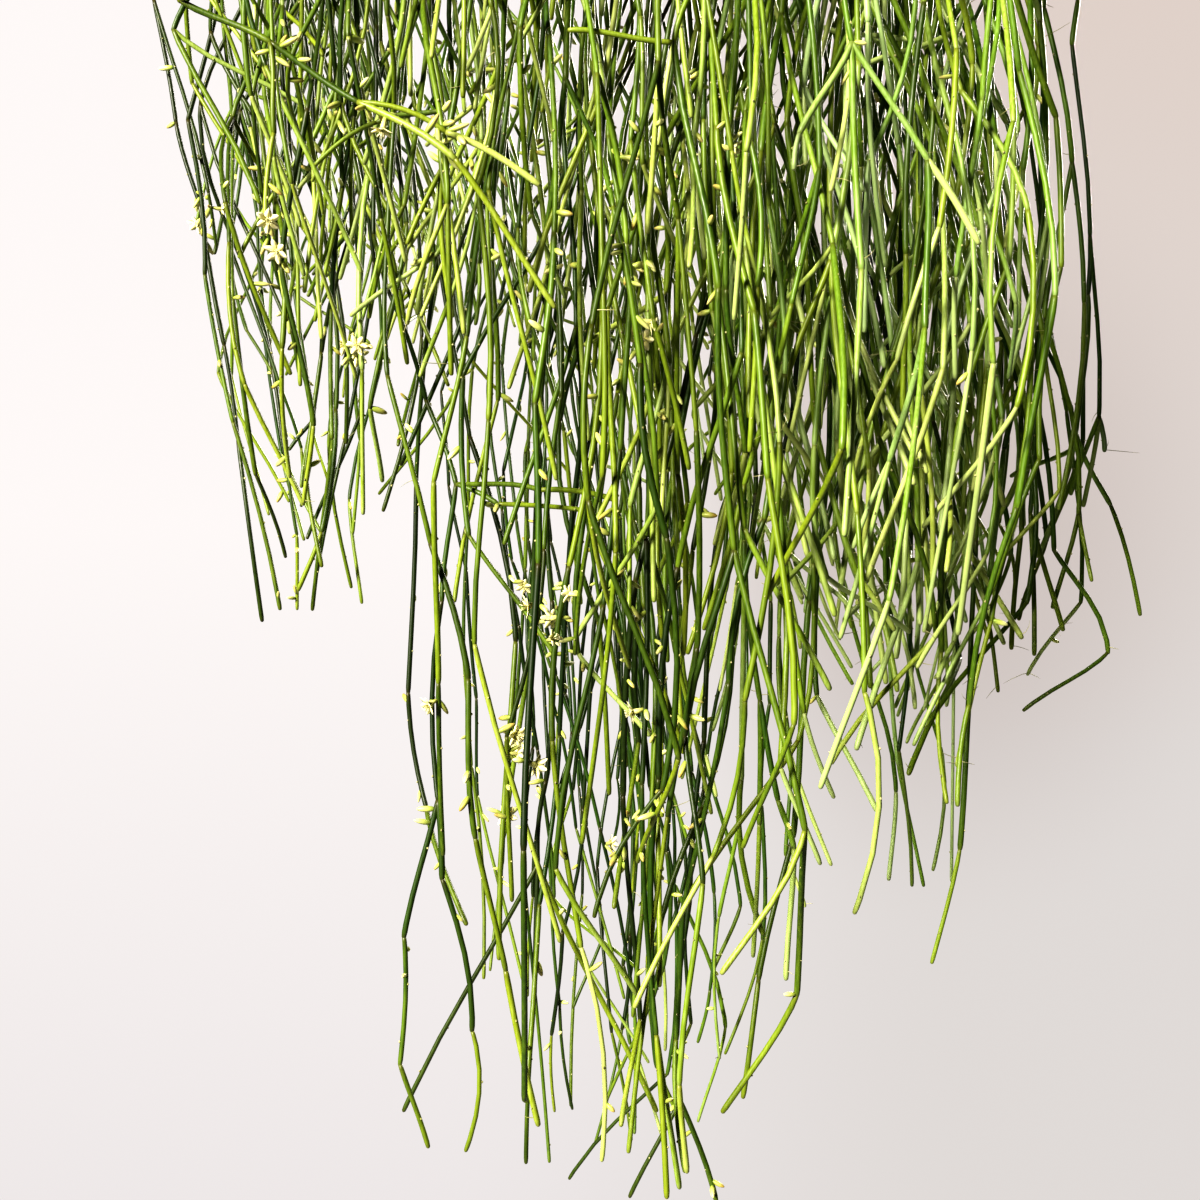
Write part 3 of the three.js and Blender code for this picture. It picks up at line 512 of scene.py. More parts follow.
def grow_arch(azimuth, ring, shoulder, draw, habit):
    """The arch from the soil over the rim to the shoulder where the stem first divides: its joints, and
    the four points of its curve."""
    root = polar(habit["root_rings"][ring], azimuth, SOIL_Z - ROOT_DEPTH + GAP)
    sprout = np.array([root[0], root[1], SOIL_Z + SPROUT_HEIGHT])
    for attempt in range(ARCH_TRIES):
        crest = RIM_Z + habit["crests"][ring] * within(CREST_SPREAD, draw())
        wobble = np.array([draw() - 0.5, draw() - 0.5, 0]) * attempt
        end = shoulder + wobble
        rise = sprout + (end - sprout) * ARCH_SLOPE
        fall = end + (sprout - end) * ARCH_SLOPE
        rise[2] = fall[2] = crest
        curve = [sprout, rise, fall, end]
        joints = [root, sprout, *bezier(curve, ARCH_STOPS)]
        radius = habit["arch_radius"]
        pairs = list(zip(joints, joints[1:]))
        over_rim = all(misses_pot(a, b) for a, b in pairs[1:])
        if over_rim and all(room.clears(a, b, radius, habit) for a, b in pairs):
            for a, b in pairs:
                room.block(a, b, radius)
            return joints, curve
    return None, None


print("an arch drawn up to 1 rises to", bezier(np.array([[0.0], [1], [1], [0]]), [0.5]).item())

# %% Guided branches


def follow(start, places, depth, draw, habit):
    """The joints of a guide, each drawn a little nearer or further until its stretch has room."""
    joints = [start]
    for x, z in places:
        for attempt in range(TRIES):
            joint = in_line(x, z, depth + GUIDE_NUDGE * attempt * (draw() - 0.5))
            if misses_pot(joints[-1], joint) and room.clears(joints[-1], joint, BRANCH_RADIUS, habit):
                break
        else:
            return joints
        room.block(joints[-1], joint, BRANCH_RADIUS)
        joints.append(joint)
    return joints


def grow_guided(shoulder, guide, draw, habit):
    """A guided branch: free steps down to its first place, then place by place, then its limbs."""
    first, *others = guide["joints"]
    grown = grow_branch(shoulder, [in_line(*first, guide["depth"])], draw, habit)
    lead = grown[0] if grown else [shoulder]
    trunk = lead + follow(lead[-1], others, guide["depth"], draw, habit)[1:]
    branches = [trunk]
    for limb in guide["limbs"]:
        index = len(lead) - 1 + limb["at"]
        if index < len(trunk) - 1:
            branches.append(follow(trunk[index], limb["joints"], guide["depth"], draw, habit))
    return [joints for joints in branches if len(joints) > 1]


def departure(trunk, tip):
    """The lowest joint of a trunk that a tip can still be reached from without leaning too far, or its
    top."""
    for i in range(len(trunk) - 2, 0, -1):
        drop = trunk[i][2] - tip[2]
        aside = math.hypot(trunk[i][0] - tip[0], trunk[i][1] - tip[1])
        if drop > STRETCH[1] and aside < STEEPEST_LEAN * drop:
            return i
    return 0


print(sum(len(guide["limbs"]) for guide in GUIDES), "limbs on the guides")

# %% Where each stem hangs from


def curtain_depth(x):
    """How far in front of the axis, or behind it, the curtain hangs at x: an ellipse's half depth."""
    return FRONT_REACH * math.sqrt(max(1 - (x / SIDE_REACH) ** 2, 0))


def free_stems(tuft):
    """The stems of one tuft that no guide leads, each with the place that it hangs from."""
    front, side, back = tuft["hang"]
    places = []
    for i in range(front + back):
        share = (i + 0.5) / front if i < front else (i - front + 0.5) / back
        x = within(tuft["x"], share) + tuft["shift"]
        reach = -FREE_DEPTH if i < front else FREE_DEPTH
        places.append(dict(tuft=tuft, x=x, y=curtain_depth(x) * reach, guide=None))
    for i in range(side):
        y = FRONT_REACH * within(SIDE_SPREAD, (i + 0.5) / side)
        places.append(dict(tuft=tuft, x=within(tuft["x"], 0.5) + tuft["shift"], y=y, guide=None))
    return places


def guided_stem(guide, tufts):
    """The stem that a guide leads, with the tuft that it hangs in."""
    x = guide["joints"][0][0]
    nearest = min(tufts, key=lambda tuft: abs(within(tuft["x"], 0.5) - x))
    return dict(tuft=nearest, x=x, y=guide["depth"], guide=guide)


def lay_out(habit):
    """All the stems in their order round the pot, from its left side by the front to the back, with their
    roots spaced evenly."""
    stems = [guided_stem(guide, habit["tufts"]) for guide in habit["guides"]]
    for tuft in habit["tufts"]:
        stems += free_stems(tuft)
    stems.sort(key=lambda stem: (math.atan2(stem["y"], stem["x"]) + 3 * math.pi) % (2 * math.pi))
    for index, stem in enumerate(stems):
        stem["index"] = index
        stem["azimuth"] = math.pi + 2 * math.pi * (index + 0.5) / len(stems)
    return stems


print("the curtain hangs", curtain_depth(0), "mm in front of the axis, and behind it")

# %% A stem with its arch and all its branches


def tips_of(tuft, depth, draw):
    """The tips of one stem: each ends at its own height above the hem, at about the stem's depth."""
    tips = []
    for _ in range(tuft["tips"]):
        x = within(tuft["x"], draw())
        heights = tuft["deep"] if draw() < tuft["share"] else tuft["short"]
        z = max(within(heights, draw()), np.interp(x, hem_x, hem_z))
        tips.append(in_line(x, z, depth * within(TIP_DEPTH, draw()) + within(DEPTH_SPREAD, draw())))
    return tips


def clear_of_rim(point):
    """A shoulder no nearer to the axis than what hangs outside the rim."""
    reach = math.hypot(point[0], point[1])
    least = RIM_RADIUS + SHOULDER_OUTSIDE
    return point * np.array([least / reach, least / reach, 1]) if reach < least else point


def grow_stem(stem, habit):
    """A whole stem: its arch, and all the branches that hang from it."""
    draw = drawer(habit["seed"] + stem["index"])
    guide = stem["guide"]
    depth = stem["y"] if guide else stem["y"] * within(STEM_DEPTH, draw())
    height = within(SHOULDER_Z, draw())
    shoulder = in_line(stem["x"], height, depth)
    shoulder[2] = height
    ring = stem["index"] % len(habit["root_rings"])
    joints, curve = grow_arch(stem["azimuth"], ring, clear_of_rim(shoulder), draw, habit)
    if joints is None:
        return None
    top = joints[-1]
    tips = tips_of(stem["tuft"], depth, draw)
    if not guide:
        branches = grow_branch(top, tips, draw, habit)
        return dict(stem=stem, root=joints[0], curve=curve, branches=branches)
    branches = grow_guided(top, guide, draw, habit)
    trunk = branches[0] if branches else [top]
    free = tips[len(branches) - 1 :]
    for i, joint in enumerate(trunk):
        goals = [tip for tip in free if departure(trunk, tip) == i]
        if goals:
            branches += grow_branch(joint, goals, draw, habit)
    return dict(stem=stem, root=joints[0], curve=curve, branches=branches)


def branch_count(stems):
    """How many branches some stems have together."""
    return sum(len(grown["branches"]) for grown in stems)


print("shoulders keep", RIM_RADIUS + SHOULDER_OUTSIDE, "mm from the axis")

# %% The stems of the CAD model, with the wires that they grow round


def wire_joints(azimuth):
    """The places that one wire of the hanger passes through, from the ferrule down to its ear."""
    straight_to = FERRULE_TOP - FERRULE_HEIGHT - WIRE_STRAIGHT
    top = [polar(WIRE_TOP_RING, azimuth, FERRULE_TOP - FERRULE_HEIGHT + WIRE_SUNK)]
    top.append(polar(WIRE_TOP_RING, azimuth, straight_to))
    return top + [polar(EAR_RADIUS + out, azimuth, EYELET_Z + up) for out, up in WIRE_END]


for azimuth in wire_azimuths:
    wire = wire_joints(azimuth)
    for a, b in zip(wire, wire[1:]):
        room.block(a, b, WIRE_RADIUS)
    room.block(polar(EAR_RADIUS, azimuth, RIM_Z), polar(EAR_RADIUS, azimuth, EYELET_Z), EAR_WIDTH / 2)

main_stems = [grow_stem(stem, MAIN_STEMS) for stem in lay_out(MAIN_STEMS)]
main_room = copy.deepcopy(room)
print(len(main_stems), "stems with", branch_count(main_stems), "branches")
print(room.count, "stretches, with those of the wires and ears")

# %% [markdown]
# ## The stems between
# A grown plant has hundreds of rods, many more than the CAD model carries. The ones that hang between them
# grow here by the same rules, from roots of their own, with shorter falls and more forks. They stay inside
# the outline that the first ones give, so they fill the curtain and don't change its form.

# %% The stems that fill the curtain
BETWEEN_ROWS = [
    ([-172, -150], [-600, -700], [-700, -780], 0.3, 4, [2, 1, 1], 5),
    ([-160, -128], [-600, -700], [-700, -790], 0.35, -2, [4, 0, 3], 5),
    ([-128, -96], [-600, -700], [-700, -780], 0.3, 0, [4, 0, 4], 5),
    ([-96, -60], [-600, -680], [-680, -740], 0.2, 0, [3, 0, 3], 4),
    ([-60, -24], [-600, -690], [-690, -760], 0.25, 0, [2, 0, 3], 4),
    ([-24, 14], [-600, -690], [-700, -900], 0.3, 0, [3, 0, 2], 5),
    ([14, 58], [-620, -720], [-740, -960], 0.5, 0, [4, 0, 5], 5),
    ([58, 98], [-620, -760], [-760, -880], 0.4, 0, [4, 0, 3], 6),
    ([98, 138], [-620, -780], [-780, -920], 0.4, -4, [4, 0, 3], 8),
    ([138, 178], [-620, -800], [-800, -960], 0.4, -10, [4, 0, 3], 8),
    ([174, 204], [-680, -800], [-800, -920], 0.4, -44, [3, 1, 1], 5),
    ([-98, -30], [-860, -990], [-1000, -1120], 0.4, 4, [1, 0, 0], 4),
    ([-30, 84], [-860, -1040], [-1040, -1180], 0.5, 0, [1, 0, 0], 5),
    ([120, 166], [-860, -940], [-940, -1020], 0.4, 0, [1, 0, 1], 5),
    ([-44, 44], [-900, -1020], [-1050, -1180], 0.75, 0, [3, 0, 2], 6),
    ([0, 72], [-920, -1040], [-1060, -1180], 0.6, 0, [2, 0, 1], 6),
    ([122, 170], [-880, -950], [-960, -1050], 0.3, -4, [3, 0, 2], 7),
    ([160, 202], [-840, -900], [-900, -940], 0.4, -24, [2, 0, 0], 6),
    ([-158, -96], [-620, -760], [-760, -880], 0.4, -4, [2, 1, 1], 8),
]
BETWEEN_TUFTS = [dict(zip(TUFT_COLUMNS, row)) for row in BETWEEN_ROWS]
STEMS_BETWEEN = dict(
    tufts=BETWEEN_TUFTS, guides=[], seed=40 * SEED, sway=0.19, kick=0.4, fork_chance=0.85, corner=1.05,
    clearance=0.4, root_rings=[86, 60, 108, 36], crests=[62, 96, 48, 128], arch_radius=1.7, reach=224,
    depth=186,
)
stems_between = [grow_stem(stem, STEMS_BETWEEN) for stem in lay_out(STEMS_BETWEEN)]
stems_between = [grown for grown in stems_between if grown and grown["branches"]]
print(len(stems_between), "stems between with", branch_count(stems_between), "branches")
print(room.count, "stretches in all")

# %% [markdown]
# ## From numbers to meshes
# A surface that is worked out on a grid has its corners in rows and columns, so its faces are known from the
# numbers of rows and columns alone. Writing whole arrays into the mesh at once takes milliseconds, where a
# loop over its corners would take minutes.

# %% Mesh helpers


def grid_faces(rows, columns, closed_rows=False):
    """The four-sided faces of a grid whose columns close on themselves, as corner numbers: each corner, its
    neighbour in the row, and the two after them in the next row. Closed rows also join the last row to the
    first."""
    row = np.arange(rows if closed_rows else rows - 1)[:, None] * columns
    next_row = (row + columns) % (rows * columns)
    column = np.arange(columns)[None]
    after = (column + 1) % columns
    return np.stack([row + column, row + after, next_row + after, next_row + column], -1).reshape(-1, 4)


def even_turns(sides):
    """The angles of evenly spaced corners round a circle: k / sides of a full turn, in radians."""
    return np.arange(sides) * 2 * np.pi / sides


def fan_faces(first, columns, reverse):
    """The triangles that close a ring of corners: its first corner with each pair of the others."""
    k = np.arange(1, columns - 1)
    order = (k + 1, k) if reverse else (k, k + 1)
    return first + np.stack([np.zeros_like(k), *order], -1)


def new_piece(name, points, quads=(), triangles=(), values=None, smooth=True):
    """A mesh object at the origin from points in millimetres, four-sided and three-sided faces, and named
    values for each corner. Its place is in its mesh, in metres."""
    quads = np.asarray(quads, np.int32).reshape(-1, 4)
    triangles = np.asarray(triangles, np.int32).reshape(-1, 3)
    corners = np.concatenate([quads.ravel(), triangles.ravel()])
    starts = np.concatenate([np.arange(len(quads)) * 4, len(quads) * 4 + np.arange(len(triangles)) * 3])
    mesh = bpy.data.meshes.new(name)
    mesh.vertices.add(len(points))
    mesh.vertices.foreach_set("co", (np.asarray(points) * MM).astype(np.float32).ravel())
    mesh.loops.add(len(corners))
    mesh.loops.foreach_set("vertex_index", corners)
    mesh.polygons.add(len(starts))
    mesh.polygons.foreach_set("loop_start", starts.astype(np.int32))
    mesh.polygons.foreach_set("use_smooth", np.full(len(starts), smooth))
    mesh.update(calc_edges=True)
    for key, numbers in (values or {}).items():
        layer = mesh.attributes.new(key, "FLOAT", "POINT")
        layer.data.foreach_set("value", np.asarray(numbers, np.float32).ravel())
    mesh.validate()
    piece = bpy.data.objects.new(name, mesh)
    bpy.context.scene.collection.objects.link(piece)
    return piece


def joined(shapes):
    """Several shapes as one: their points one after another, and their faces counted on from there."""
    points, quads, triangles, values = [], [], [], {}
    count = 0
    for shape in shapes:
        points.append(np.reshape(shape["points"], (-1, 3)))
        quads.append(np.asarray(shape.get("quads", np.zeros((0, 4))), int) + count)
        triangles.append(np.asarray(shape.get("triangles", np.zeros((0, 3))), int) + count)
        for key, numbers in shape.get("values", {}).items():
            values.setdefault(key, []).append(np.ravel(numbers))
        count += len(points[-1])
    return dict(
        points=np.concatenate(points),
        quads=np.concatenate(quads),
        triangles=np.concatenate(triangles),
        values={key: np.concatenate(numbers) for key, numbers in values.items()},
    )


def triangle_count(shape):
    """How many triangles a shape has: two for each four-sided face, and those that have three sides."""
    return 2 * len(shape["quads"]) + len(shape["triangles"])


print("a grid of 3 rows and 4 columns has", len(grid_faces(3, 4)), "faces")

# %% Directions


def unit(vectors):
    """Each row of an array of vectors, made one long."""
    return vectors / np.maximum(lengths(vectors)[..., None], NO_LENGTH)


def across(headings):
    """Two directions at right angles to each heading and to each other: the heading crossed with the world
    axis that it leans on least, and the heading crossed with that."""
    axes = np.eye(3)[np.abs(headings).argmin(-1)]
    first = unit(np.cross(headings, axes))
    return first, np.cross(headings, first)


print("across the upright axis:", *across(np.array([[0, 0, 1.0]])))

# %% [markdown]
# ## The shape of one joint of a stem
# Each rod starts narrow where it grew from the blunt end of the one before, swells to its full width within a
# few millimetres, and ends round. It isn't quite straight: it leaves in a direction between its own and that
# of the rod before, and bows a little. All the rods of a stem are worked out in one go, as an array with one
# row for each rod, one column for each ring, and a ring of corners in each.

# %% A stem's rods as rows of numbers
ROD_RADIUS = 1.1
ROD_SPREAD = 0.16
SIDE_SWELL = 0.07
SWELL_REACH = 120
OLD_SWELL = 1.06
NEW_SLIMNESS = 0.08
SLIM_FADE = 1.2
FLOW = 0.275
SAG = 0.05
BOW = 0.028
BOW_PULL = 4


def rods_of(grown, draws):
    """One row for each rod of a stem: its ends, the headings that it leaves and arrives in, how many rods
    follow it to the tip of its branch, and its own radius. A heading turns by a share of its difference from
    the next rod's. Four times the bow is added to the first heading and taken off the second, which moves
    the middle of the curve by the bow. Rods are drawn to within a sixth of the usual radius. Those on the
    right and the old ones are a little thicker, and those near a tip slimmer."""
    curve = grown["curve"]
    arriving = {id(grown["branches"][0][0]): unit(curve[3] - curve[2])}
    rows = []
    for joints in grown["branches"]:
        path = np.array(joints)
        headings = unit(np.diff(path, axis=0))
        before = np.vstack([arriving.get(id(joints[0]), headings[0]), headings[:-1]])
        after = np.vstack([headings[1:], headings[-1:]])
        arriving.update({id(joint): heading for joint, heading in zip(joints[1:], headings)})
        order = np.arange(len(headings))[::-1]
        rows.append(np.column_stack([path[:-1], path[1:], headings, before, after, order]))
    rows = np.vstack(rows)
    start, end, heading, before, after = (rows[:, i : i + 3] for i in range(0, 15, 3))
    length = lengths(end - start)
    lean = np.sqrt(np.maximum(1 - heading[:, 2] ** 2, 0))
    side, other = across(heading)
    turn = draws.uniform(0, 2 * np.pi, len(rows))[:, None]
    bow = (side * np.cos(turn) + other * np.sin(turn)) * (draws.normal(0, BOW, len(rows)) * length)[:, None]
    bow[:, 2] += SAG * lean * length
    leave = unit(heading + FLOW * (before - heading)) * length[:, None] + BOW_PULL * bow
    arrive = unit(heading + FLOW * (after - heading)) * length[:, None] - BOW_PULL * bow
    tip = rows[:, 15]
    radius = ROD_RADIUS * draws.normal(1, ROD_SPREAD / 2, len(rows)).clip(1 - ROD_SPREAD, 1 + ROD_SPREAD)
    radius = radius * (1 + SIDE_SWELL * np.clip(end[:, 0] / SWELL_REACH, -1, 1))
    radius = radius * (OLD_SWELL - NEW_SLIMNESS * np.exp(-SLIM_FADE * tip))
    return dict(start=start, end=end, leave=leave, arrive=arrive, length=length, to_tip=tip, radius=radius)


print("a usual rod is", 2 * ROD_RADIUS, "mm thick")

# %% The rods' surface
SIDES = 8
BASE_AT = np.array([0, 2.2, 6.5])
BASE_WIDTH = [0.8, 0.9, 1.0]
MIDDLE_AT = np.array([0.25, 0.5, 0.75])
MIDDLE_WIDTH = [0.97, 0.96, 0.98]
END_BEFORE = np.array([5.0, 1.6])
END_WIDTH = [1.0, 0.99]
ROUND_AT = np.array([0.35, 0.8])
ROUND_WIDTH = [0.8, 0.42]


def rod_line(rods, t):
    """Points on the rods' middle lines and the headings there, at the shares t. Each line is a cubic Hermite
    curve: its start, the heading there, its end and the heading there, weighed by 2t^3-3t^2+1, t^3-2t^2+t,
    3t^2-2t^3 and t^3-t^2."""
    start, end, leave, arrive = (rods[key][:, None] for key in ("start", "end", "leave", "arrive"))
    line = (2 * t**3 - 3 * t**2 + 1) * start + (t**3 - 2 * t**2 + t) * leave
    line = line + (3 * t**2 - 2 * t**3) * end + (t**3 - t**2) * arrive
    slope = (6 * t**2 - 6 * t) * (start - end) + (3 * t**2 - 4 * t + 1) * leave + (3 * t**2 - 2 * t) * arrive
    return line, unit(slope)


def rod_surface(rods):
    """Rings of corners along each rod's middle line. The radius starts at 0.8 of the full width, reaches it
    after 6.5 mm and rounds off at the end."""
    length, radius = rods["length"][:, None], rods["radius"][:, None]
    inner = BASE_AT[-1] + (length - BASE_AT[-1] - END_BEFORE[0]) * MIDDLE_AT
    from_base = np.concatenate([np.broadcast_to(BASE_AT, (len(length), 3)), inner, length - END_BEFORE], 1)
    t = np.concatenate([from_base / length, np.ones((len(length), len(ROUND_AT)))], 1)[..., None]
    line, heading = rod_line(rods, t)
    line[:, -len(ROUND_AT) :] += heading[:, -len(ROUND_AT) :] * (ROUND_AT * radius)[..., None]
    side, _ = across(unit(rods["end"] - rods["start"])[:, None])
    side = unit(side - (side * heading).sum(-1)[..., None] * heading)
    other = np.cross(heading, side)
    widths = np.array(BASE_WIDTH + MIDDLE_WIDTH + END_WIDTH + ROUND_WIDTH) * radius
    angle = even_turns(SIDES)
    ring = side[:, :, None] * np.cos(angle)[:, None] + other[:, :, None] * np.sin(angle)[:, None]
    return line[:, :, None] + ring * widths[..., None, None]


def closed_tubes(points, values):
    """Tubes from an array of (tube, ring, side) corners, each closed by a fan at both ends."""
    tubes, rings, sides = points.shape[:3]
    first = (np.arange(tubes) * rings * sides)[:, None, None]
    quads = (first + grid_faces(rings, sides)).reshape(-1, 4)
    bottom = (first + fan_faces(0, sides, reverse=True)).reshape(-1, 3)
    top = (first + fan_faces((rings - 1) * sides, sides, reverse=False)).reshape(-1, 3)
    return dict(points=points.reshape(-1, 3), quads=quads, triangles=np.vstack([bottom, top]), values=values)


RINGS = len(BASE_AT) + len(MIDDLE_AT) + len(END_BEFORE) + len(ROUND_AT)
print("a rod has", RINGS, "rings of", SIDES, "corners")

# %% [markdown]
# ## Age, scars and painted shade
# The colour of a rod tells its age. The arching parts over the rim are years old: dull, dark and a little
# corky. Lower rods are a fresh green, and the newest, at the tips, are paler and yellower. Where two rods
# meet, a thin brown ring is left. Three numbers say this: age, from about 0 in the oldest skin to about 1 in
# the newest, yellow, and scar. They are worked out for each rod and kept on the mesh as attributes, which the
# material then reads. The age also carries painted light and shade: it is lowered as painted shade inside the
# curtain, in the long tail and on the left, and raised as painted light on the right and in front.

# %% The arch with its age and scars
ARCH_RINGS = 26
ARCH_END_RADIUS = 1.75
ARCH_PERIOD = 62
ARCH_SWELL = 0.1
ARCH_WAIST = 0.04
ARCH_AGE = [0.17, 0.47]
ARCH_YELLOW = 0.4
ROOT_SCAR = 0.55
ROOT_SCAR_FADE = 160


def arch_shape(grown, radius):
    """The arch as one tube along its Bezier curve, from its root in the soil. Its width swells by the third
    power of a sine with a period of about 60 mm, because it is made of rods that have grown together."""
    share = np.linspace(0, 1, ARCH_RINGS)
    line = np.vstack([grown["root"], bezier(grown["curve"], share)])
    run = np.concatenate([[0], np.cumsum(lengths(np.diff(line, axis=0)))])
    heading = unit(np.gradient(line, axis=0))
    flat = grown["curve"][3] - grown["curve"][0]
    side = unit(np.cross(flat, [0, 0, 1.0]))
    side = unit(side - (heading @ side)[:, None] * heading)
    other = np.cross(heading, side)
    width = radius + (ARCH_END_RADIUS - radius) * run / run[-1]
    width = width * (1 + ARCH_SWELL * np.abs(np.sin(np.pi * run / ARCH_PERIOD)) ** 3 - ARCH_WAIST)
    angle = even_turns(SIDES)
    ring = side[:, None] * np.cos(angle)[:, None] + other[:, None] * np.sin(angle)[:, None]
    points = line[:, None] + ring * width[:, None, None]
    values = dict(
        age=np.repeat(within(ARCH_AGE, run / run[-1]), SIDES),
        scar=np.repeat(np.clip(ROOT_SCAR - run / ROOT_SCAR_FADE, 0, 1), SIDES),
        yellow=np.full(points.shape[:2], ARCH_YELLOW),
    )
    return closed_tubes(points[None], values)


print("an arch has", ARCH_RINGS + 1, "rings of", SIDES, "corners")

# %% [markdown]
# Each table below lists places in millimetres and what is added there, with an even change between them.
# Sideways and forwards are counted from the pot's axis, and downwards from the hook.

# %% The rods with their age and scars
OLD_AGE = 0.38
TIP_AGE = 0.42
TIP_FADE = 0.9
ROD_AGE_SPREAD = 0.13
STEM_AGE_SPREAD = 0.07
AGE_ALONG = [-0.05, 0.08]
# Painted shade: rods near the pot's axis are darkened, as the inside of the curtain lies in shade.
SHADE = 0.58
SHADE_REACH = 110
SHADE_ASIDE = 0.24
# Painted light and shade: rods on the left are darkened and those on the right lightened, to even out the
# lamp from the left.
PAINTED_LIGHT_BY_SIDE = [[-100, 0, 100], [-0.16, -0.04, 0.12]]
# Painted light: the front rods, which the lamp reaches first, are lightened.
PAINTED_LIGHT_FORWARDS = [[120, 180], [0, 0.08]]
# Painted shade: rods in the long tail are darkened, standing in for shade that the few rods there don't cast.
PAINTED_SHADE_DOWNWARDS = [[840, 940], [0, -0.26]]
NEW_FADE = 2.5
NEW_AGE_BY_SIDE = [[0, 100], [0, 0.08]]
NEW_YELLOW = 0.3
STEM_YELLOW = [0.42, 0.2]
ROD_YELLOW_SPREAD = 0.13
YELLOW_BY_SIDE = [[0, 100], [0, -0.2]]
YELLOW_FORWARDS = 0.0006
SCAR = np.array([0.6, 0.25, 0, 0, 0, 0, 0, 0.06, 0.3, 0.5])


def rod_tints(rods, draws):
    """The age and the yellow of each rod. Both rise towards the tip by e to the power of minus the number of
    rods that still follow, vary by chance from stem to stem and from rod to rod, and change with the place.
    The age also carries painted shade, deepest at the pot's axis and fading evenly to nothing at an ellipse
    round it, as well as in the long tail and on the left, and painted light on the right and in front."""
    x, y, z = rods["end"].T
    age = OLD_AGE + TIP_AGE * np.exp(-TIP_FADE * rods["to_tip"])
    age = age + draws.normal(0, ROD_AGE_SPREAD, len(x)) + draws.normal(0, STEM_AGE_SPREAD)
    # Painted shade near the pot's axis, in the long tail and on the left, and painted light on the right and
    # in front, are added to the age.
    age = age - SHADE * np.clip(1 - np.hypot(SHADE_ASIDE * x, y) / SHADE_REACH, 0, 1)
    age = age + np.interp(x, *PAINTED_LIGHT_BY_SIDE) + np.interp(-y, *PAINTED_LIGHT_FORWARDS) + np.interp(-z, *PAINTED_SHADE_DOWNWARDS)
    new = np.exp(-NEW_FADE * rods["to_tip"])
    age = age + new * np.interp(x, *NEW_AGE_BY_SIDE)
    yellow = draws.normal(*STEM_YELLOW) + np.interp(x, *YELLOW_BY_SIDE) - YELLOW_FORWARDS * y
    yellow = yellow + NEW_YELLOW * new + draws.normal(0, ROD_YELLOW_SPREAD, len(x))
    return age, yellow


def stem_shape(grown, rods, draws, arch_radius):
    """A whole stem: its arch and its rods, with the age, the scars and the yellow of every corner."""
    points = rod_surface(rods)
    age, yellow = rod_tints(rods, draws)
    values = dict(
        age=np.repeat(age[:, None] + np.linspace(*AGE_ALONG, RINGS), SIDES, 1),
        scar=np.broadcast_to(SCAR[None, :, None], points.shape[:3]),
        yellow=np.repeat(yellow[:, None], RINGS * SIDES, 1),
    )
    return joined([arch_shape(grown, arch_radius), closed_tubes(points, values)])


print("a rod's scars from its base to its end:", *SCAR)


# %% [markdown]
# ## Materials
# Every finish is made of nodes. One helper adds a node with its settings and links, so that a material reads
# as a short recipe. Colours are written as the hex values of a paint chart, and one function turns them into
# the linear numbers that light is computed with. Patterns are sized by real widths: a noise with the scale
# 1 / width has spots about that wide.

# %% Material helpers


def linear(colour):
    """An sRGB hex colour as linear red, green and blue with full opacity: c / 12.92 up to 0.04045, and
    ((c + 0.055) / 1.055) ** 2.4 above."""
    parts = [int(colour[i : i + 2], 16) / 255 for i in (1, 3, 5)]
    return (*(c / 12.92 if c <= 0.04045 else ((c + 0.055) / 1.055) ** 2.4 for c in parts), 1.0)


def add(material, kind, inputs=None, stops=None, **settings):
    """Adds a node: its properties are set, its inputs are linked to sockets or set to values, and the stops
    of a colour ramp are given as (place, hex colour)."""
    tree = material.node_tree
    node = tree.nodes.new("ShaderNode" + kind)
    for key, value in settings.items():
        setattr(node, key, value)
    for key, value in (inputs or {}).items():
        if isinstance(value, bpy.types.NodeSocket):
            tree.links.new(value, node.inputs[key])
        else:
            node.inputs[key].default_value = value
    for i, (place, colour) in enumerate(stops or []):
        ramp = node.color_ramp.elements
        stop = ramp[i] if i < 2 else ramp.new(place)
        stop.position = place
        stop.color = linear(colour)
    return node


def new_material(name):
    """An empty material that is made of nodes."""
    material = bpy.data.materials.new(name)
    material.use_nodes = True
    material.node_tree.nodes.clear()
    return material


print("mid grey #808080 is", round(linear("#808080")[0], 4), "in linear light")

# %% [markdown]
# ## The skin of a stem
# The rods are covered by a smooth, waxy skin with a soft shine. Its green runs from a deep bottle green in
# the old rods to a pale yellow-green in the new ones, with faint streaks along the rod and a brown ring at
# each joint. Two colour ramps, one cool and one warm, are read with the age, which also carries painted light
# and shade, and mixed by the yellow.

# %% The stem's material
STREAK_WIDTH = 0.7
STREAK_SQUEEZE = 0.07
PATCH_WIDTH = 26
STREAKS = 0.42
PATCHES = 0.34
SCAR_STRENGTH = 0.75
SCAR_BROWN = "#4c3c1e"
COOL_GREENS = [(0, "#112405"), (1, "#8ca26c"), (0.3, "#26420a"), (0.65, "#58751c")]
WARM_GREENS = [(0, "#1e2a05"), (1, "#a0ab62"), (0.3, "#3b4d0a"), (0.65, "#73811d")]


